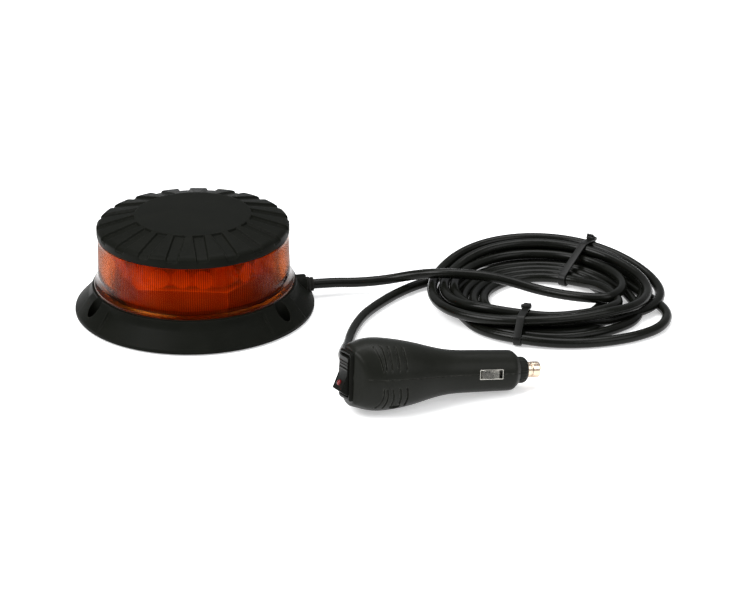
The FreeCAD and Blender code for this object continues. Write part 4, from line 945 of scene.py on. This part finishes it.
nose = {"columns": 144, "flutes": 24, "deep": 0.28, "radius": 6.8, "fluteFrom": 90.6, "fluteTo": 94.6,
        "line": [(4.25, 84.5), (4.25, 95.5), (5.6, 95.5), (6.8, 93.9), (6.8, 90.1), (5.54, 90.1),
                 (5.54, 84.5)], "round": [0.1, 0.3, 0.7, 1.0, 0.3, 0.1, 0.1]}
noseLine = roundedProfile(nose["line"], nose["round"], steps=6)
noseGrid = turned(noseLine, nose["columns"])
noseTurn = np.linspace(0, 2 * np.pi * nose["flutes"], nose["columns"], endpoint=False)
flute = nose["deep"] * np.clip(np.cos(noseTurn), 0, 1)
outside = ((noseLine[:, 0] > nose["radius"] - 0.5) & (noseLine[:, 1] > nose["fluteFrom"])
           & (noseLine[:, 1] < nose["fluteTo"]))
noseGrid[..., :2] *= (1.0 - outside[:, None] * flute[None, :] / nose["radius"])[..., None]
makePiece("nose_ring_collar", [placed(gridPart(noseGrid, wrapRows=True), plugFrame @ towardsTip)],
          ["nose_ring"], "black_plastic", look="plug_black", body="nose_ring", crease=50.0)

tip = {"line": [(0.05, 82.95), (5.25, 82.95), (5.25, 84.4), (4.1, 84.4), (4.1, 97.5), (3.75, 97.8),
                (3.75, 98.3), (4.15, 98.6), (4.15, 102.2), (3.5, 102.9), (0.05, 102.9)],
       "round": [0.1, 0.1, 0.1, 0.1, 0.15, 0.15, 0.15, 0.15, 0.3, 0.3, 0.1],
       "slot": ((102.0, -6.0, -0.5), (104.0, 6.0, 0.5))}
tipLine = roundedProfile(tip["line"], tip["round"], closed=False, steps=6)
slotTool = placed(boxPart(*tip["slot"], 0.1), plugFrame)
makePiece("tip_contact_pin", [placed(gridPart(turned(tipLine, 72), poles=True), plugFrame @ towardsTip)],
          ["tip_contact"], "nickel", body="tip", cut=[slotTool])
print("plug pieces made")


# the remaining CAD nodes keep their shape and get their finish
lookOf = {"light_core": "core", "side_contact_near": "worn_contact_painted_reflection", "side_contact_far": "worn_contact_painted_reflection",
          "plug_shell_screws": "dark_screw"}
for subpart in frame["record"]["subparts"]:
    node = frame["nodes"].get(subpart["node"])
    if node is None or node.type != "MESH":
        continue
    wanted = finish[lookOf.get(subpart["node"], subpart["material_slot"])]
    if not node.material_slots:
        node.data.materials.append(wanted)
    for place in node.material_slots:
        place.material = wanted

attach(cordPiece, "beacon")
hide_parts("beacon_lead", "cord_coil", "plug_lead")
cordCurve.materials.append(finish["cord_jacket"])


# floor and light
studio = {
    "floor": 3.0, "level": -0.0003, "world": (0.95, 0.97, 1.0), "worldStrength": 0.40,
    "lamps": [("keyBox", (-0.85, -0.60, 1.10), 0.8, 20.0), ("fillBox", (0.95, -0.75, 0.9), 0.9, 6.0),
              ("overBox", (0.10, 0.35, 1.5), 1.2, 19.0)],
    "aim": (0.09, -0.01, 0.0),
}
floorMesh = bpy.data.meshes.new("studioFloor")
# the floor lies just under the rubber pad, so that the two faces don't share a plane
side = studio["floor"]
floorPlan = [(-side, -side), (side, -side), (side, side), (-side, side)]
floorMesh.from_pydata([(*corner, studio["level"]) for corner in floorPlan], [], [(0, 1, 2, 3)])
studioFloor = bpy.data.objects.new("studioFloor", floorMesh)
scene.collection.objects.link(studioFloor)
floorMesh.materials.append(surface("studioPaper", (0.90, 0.90, 0.90), (0.93, 0.93, 0.93), (0.75, 0.85),
                                   grain=800.0, cloud=3.0, height=0.00002, Specular_IOR_Level=0.15,
                                   Emission_Color=(1.0, 1.0, 1.0, 1.0), Emission_Strength=0.42))

world = bpy.data.worlds.new("studioWorld")
world.use_nodes = True
world.node_tree.nodes["Background"].inputs["Color"].default_value = (*studio["world"], 1.0)
world.node_tree.nodes["Background"].inputs["Strength"].default_value = studio["worldStrength"]
scene.world = world
for name, place, size, power in studio["lamps"]:
    lamp = bpy.data.lights.new(name, "AREA")
    lamp.shape = "SQUARE"
    lamp.size = size
    lamp.energy = power
    holder = bpy.data.objects.new(name, lamp)
    holder.location = place
    holder.rotation_euler = (Vector(studio["aim"]) - Vector(place)).to_track_quat("-Z", "Y").to_euler()
    scene.collection.objects.link(holder)
print("studio set")
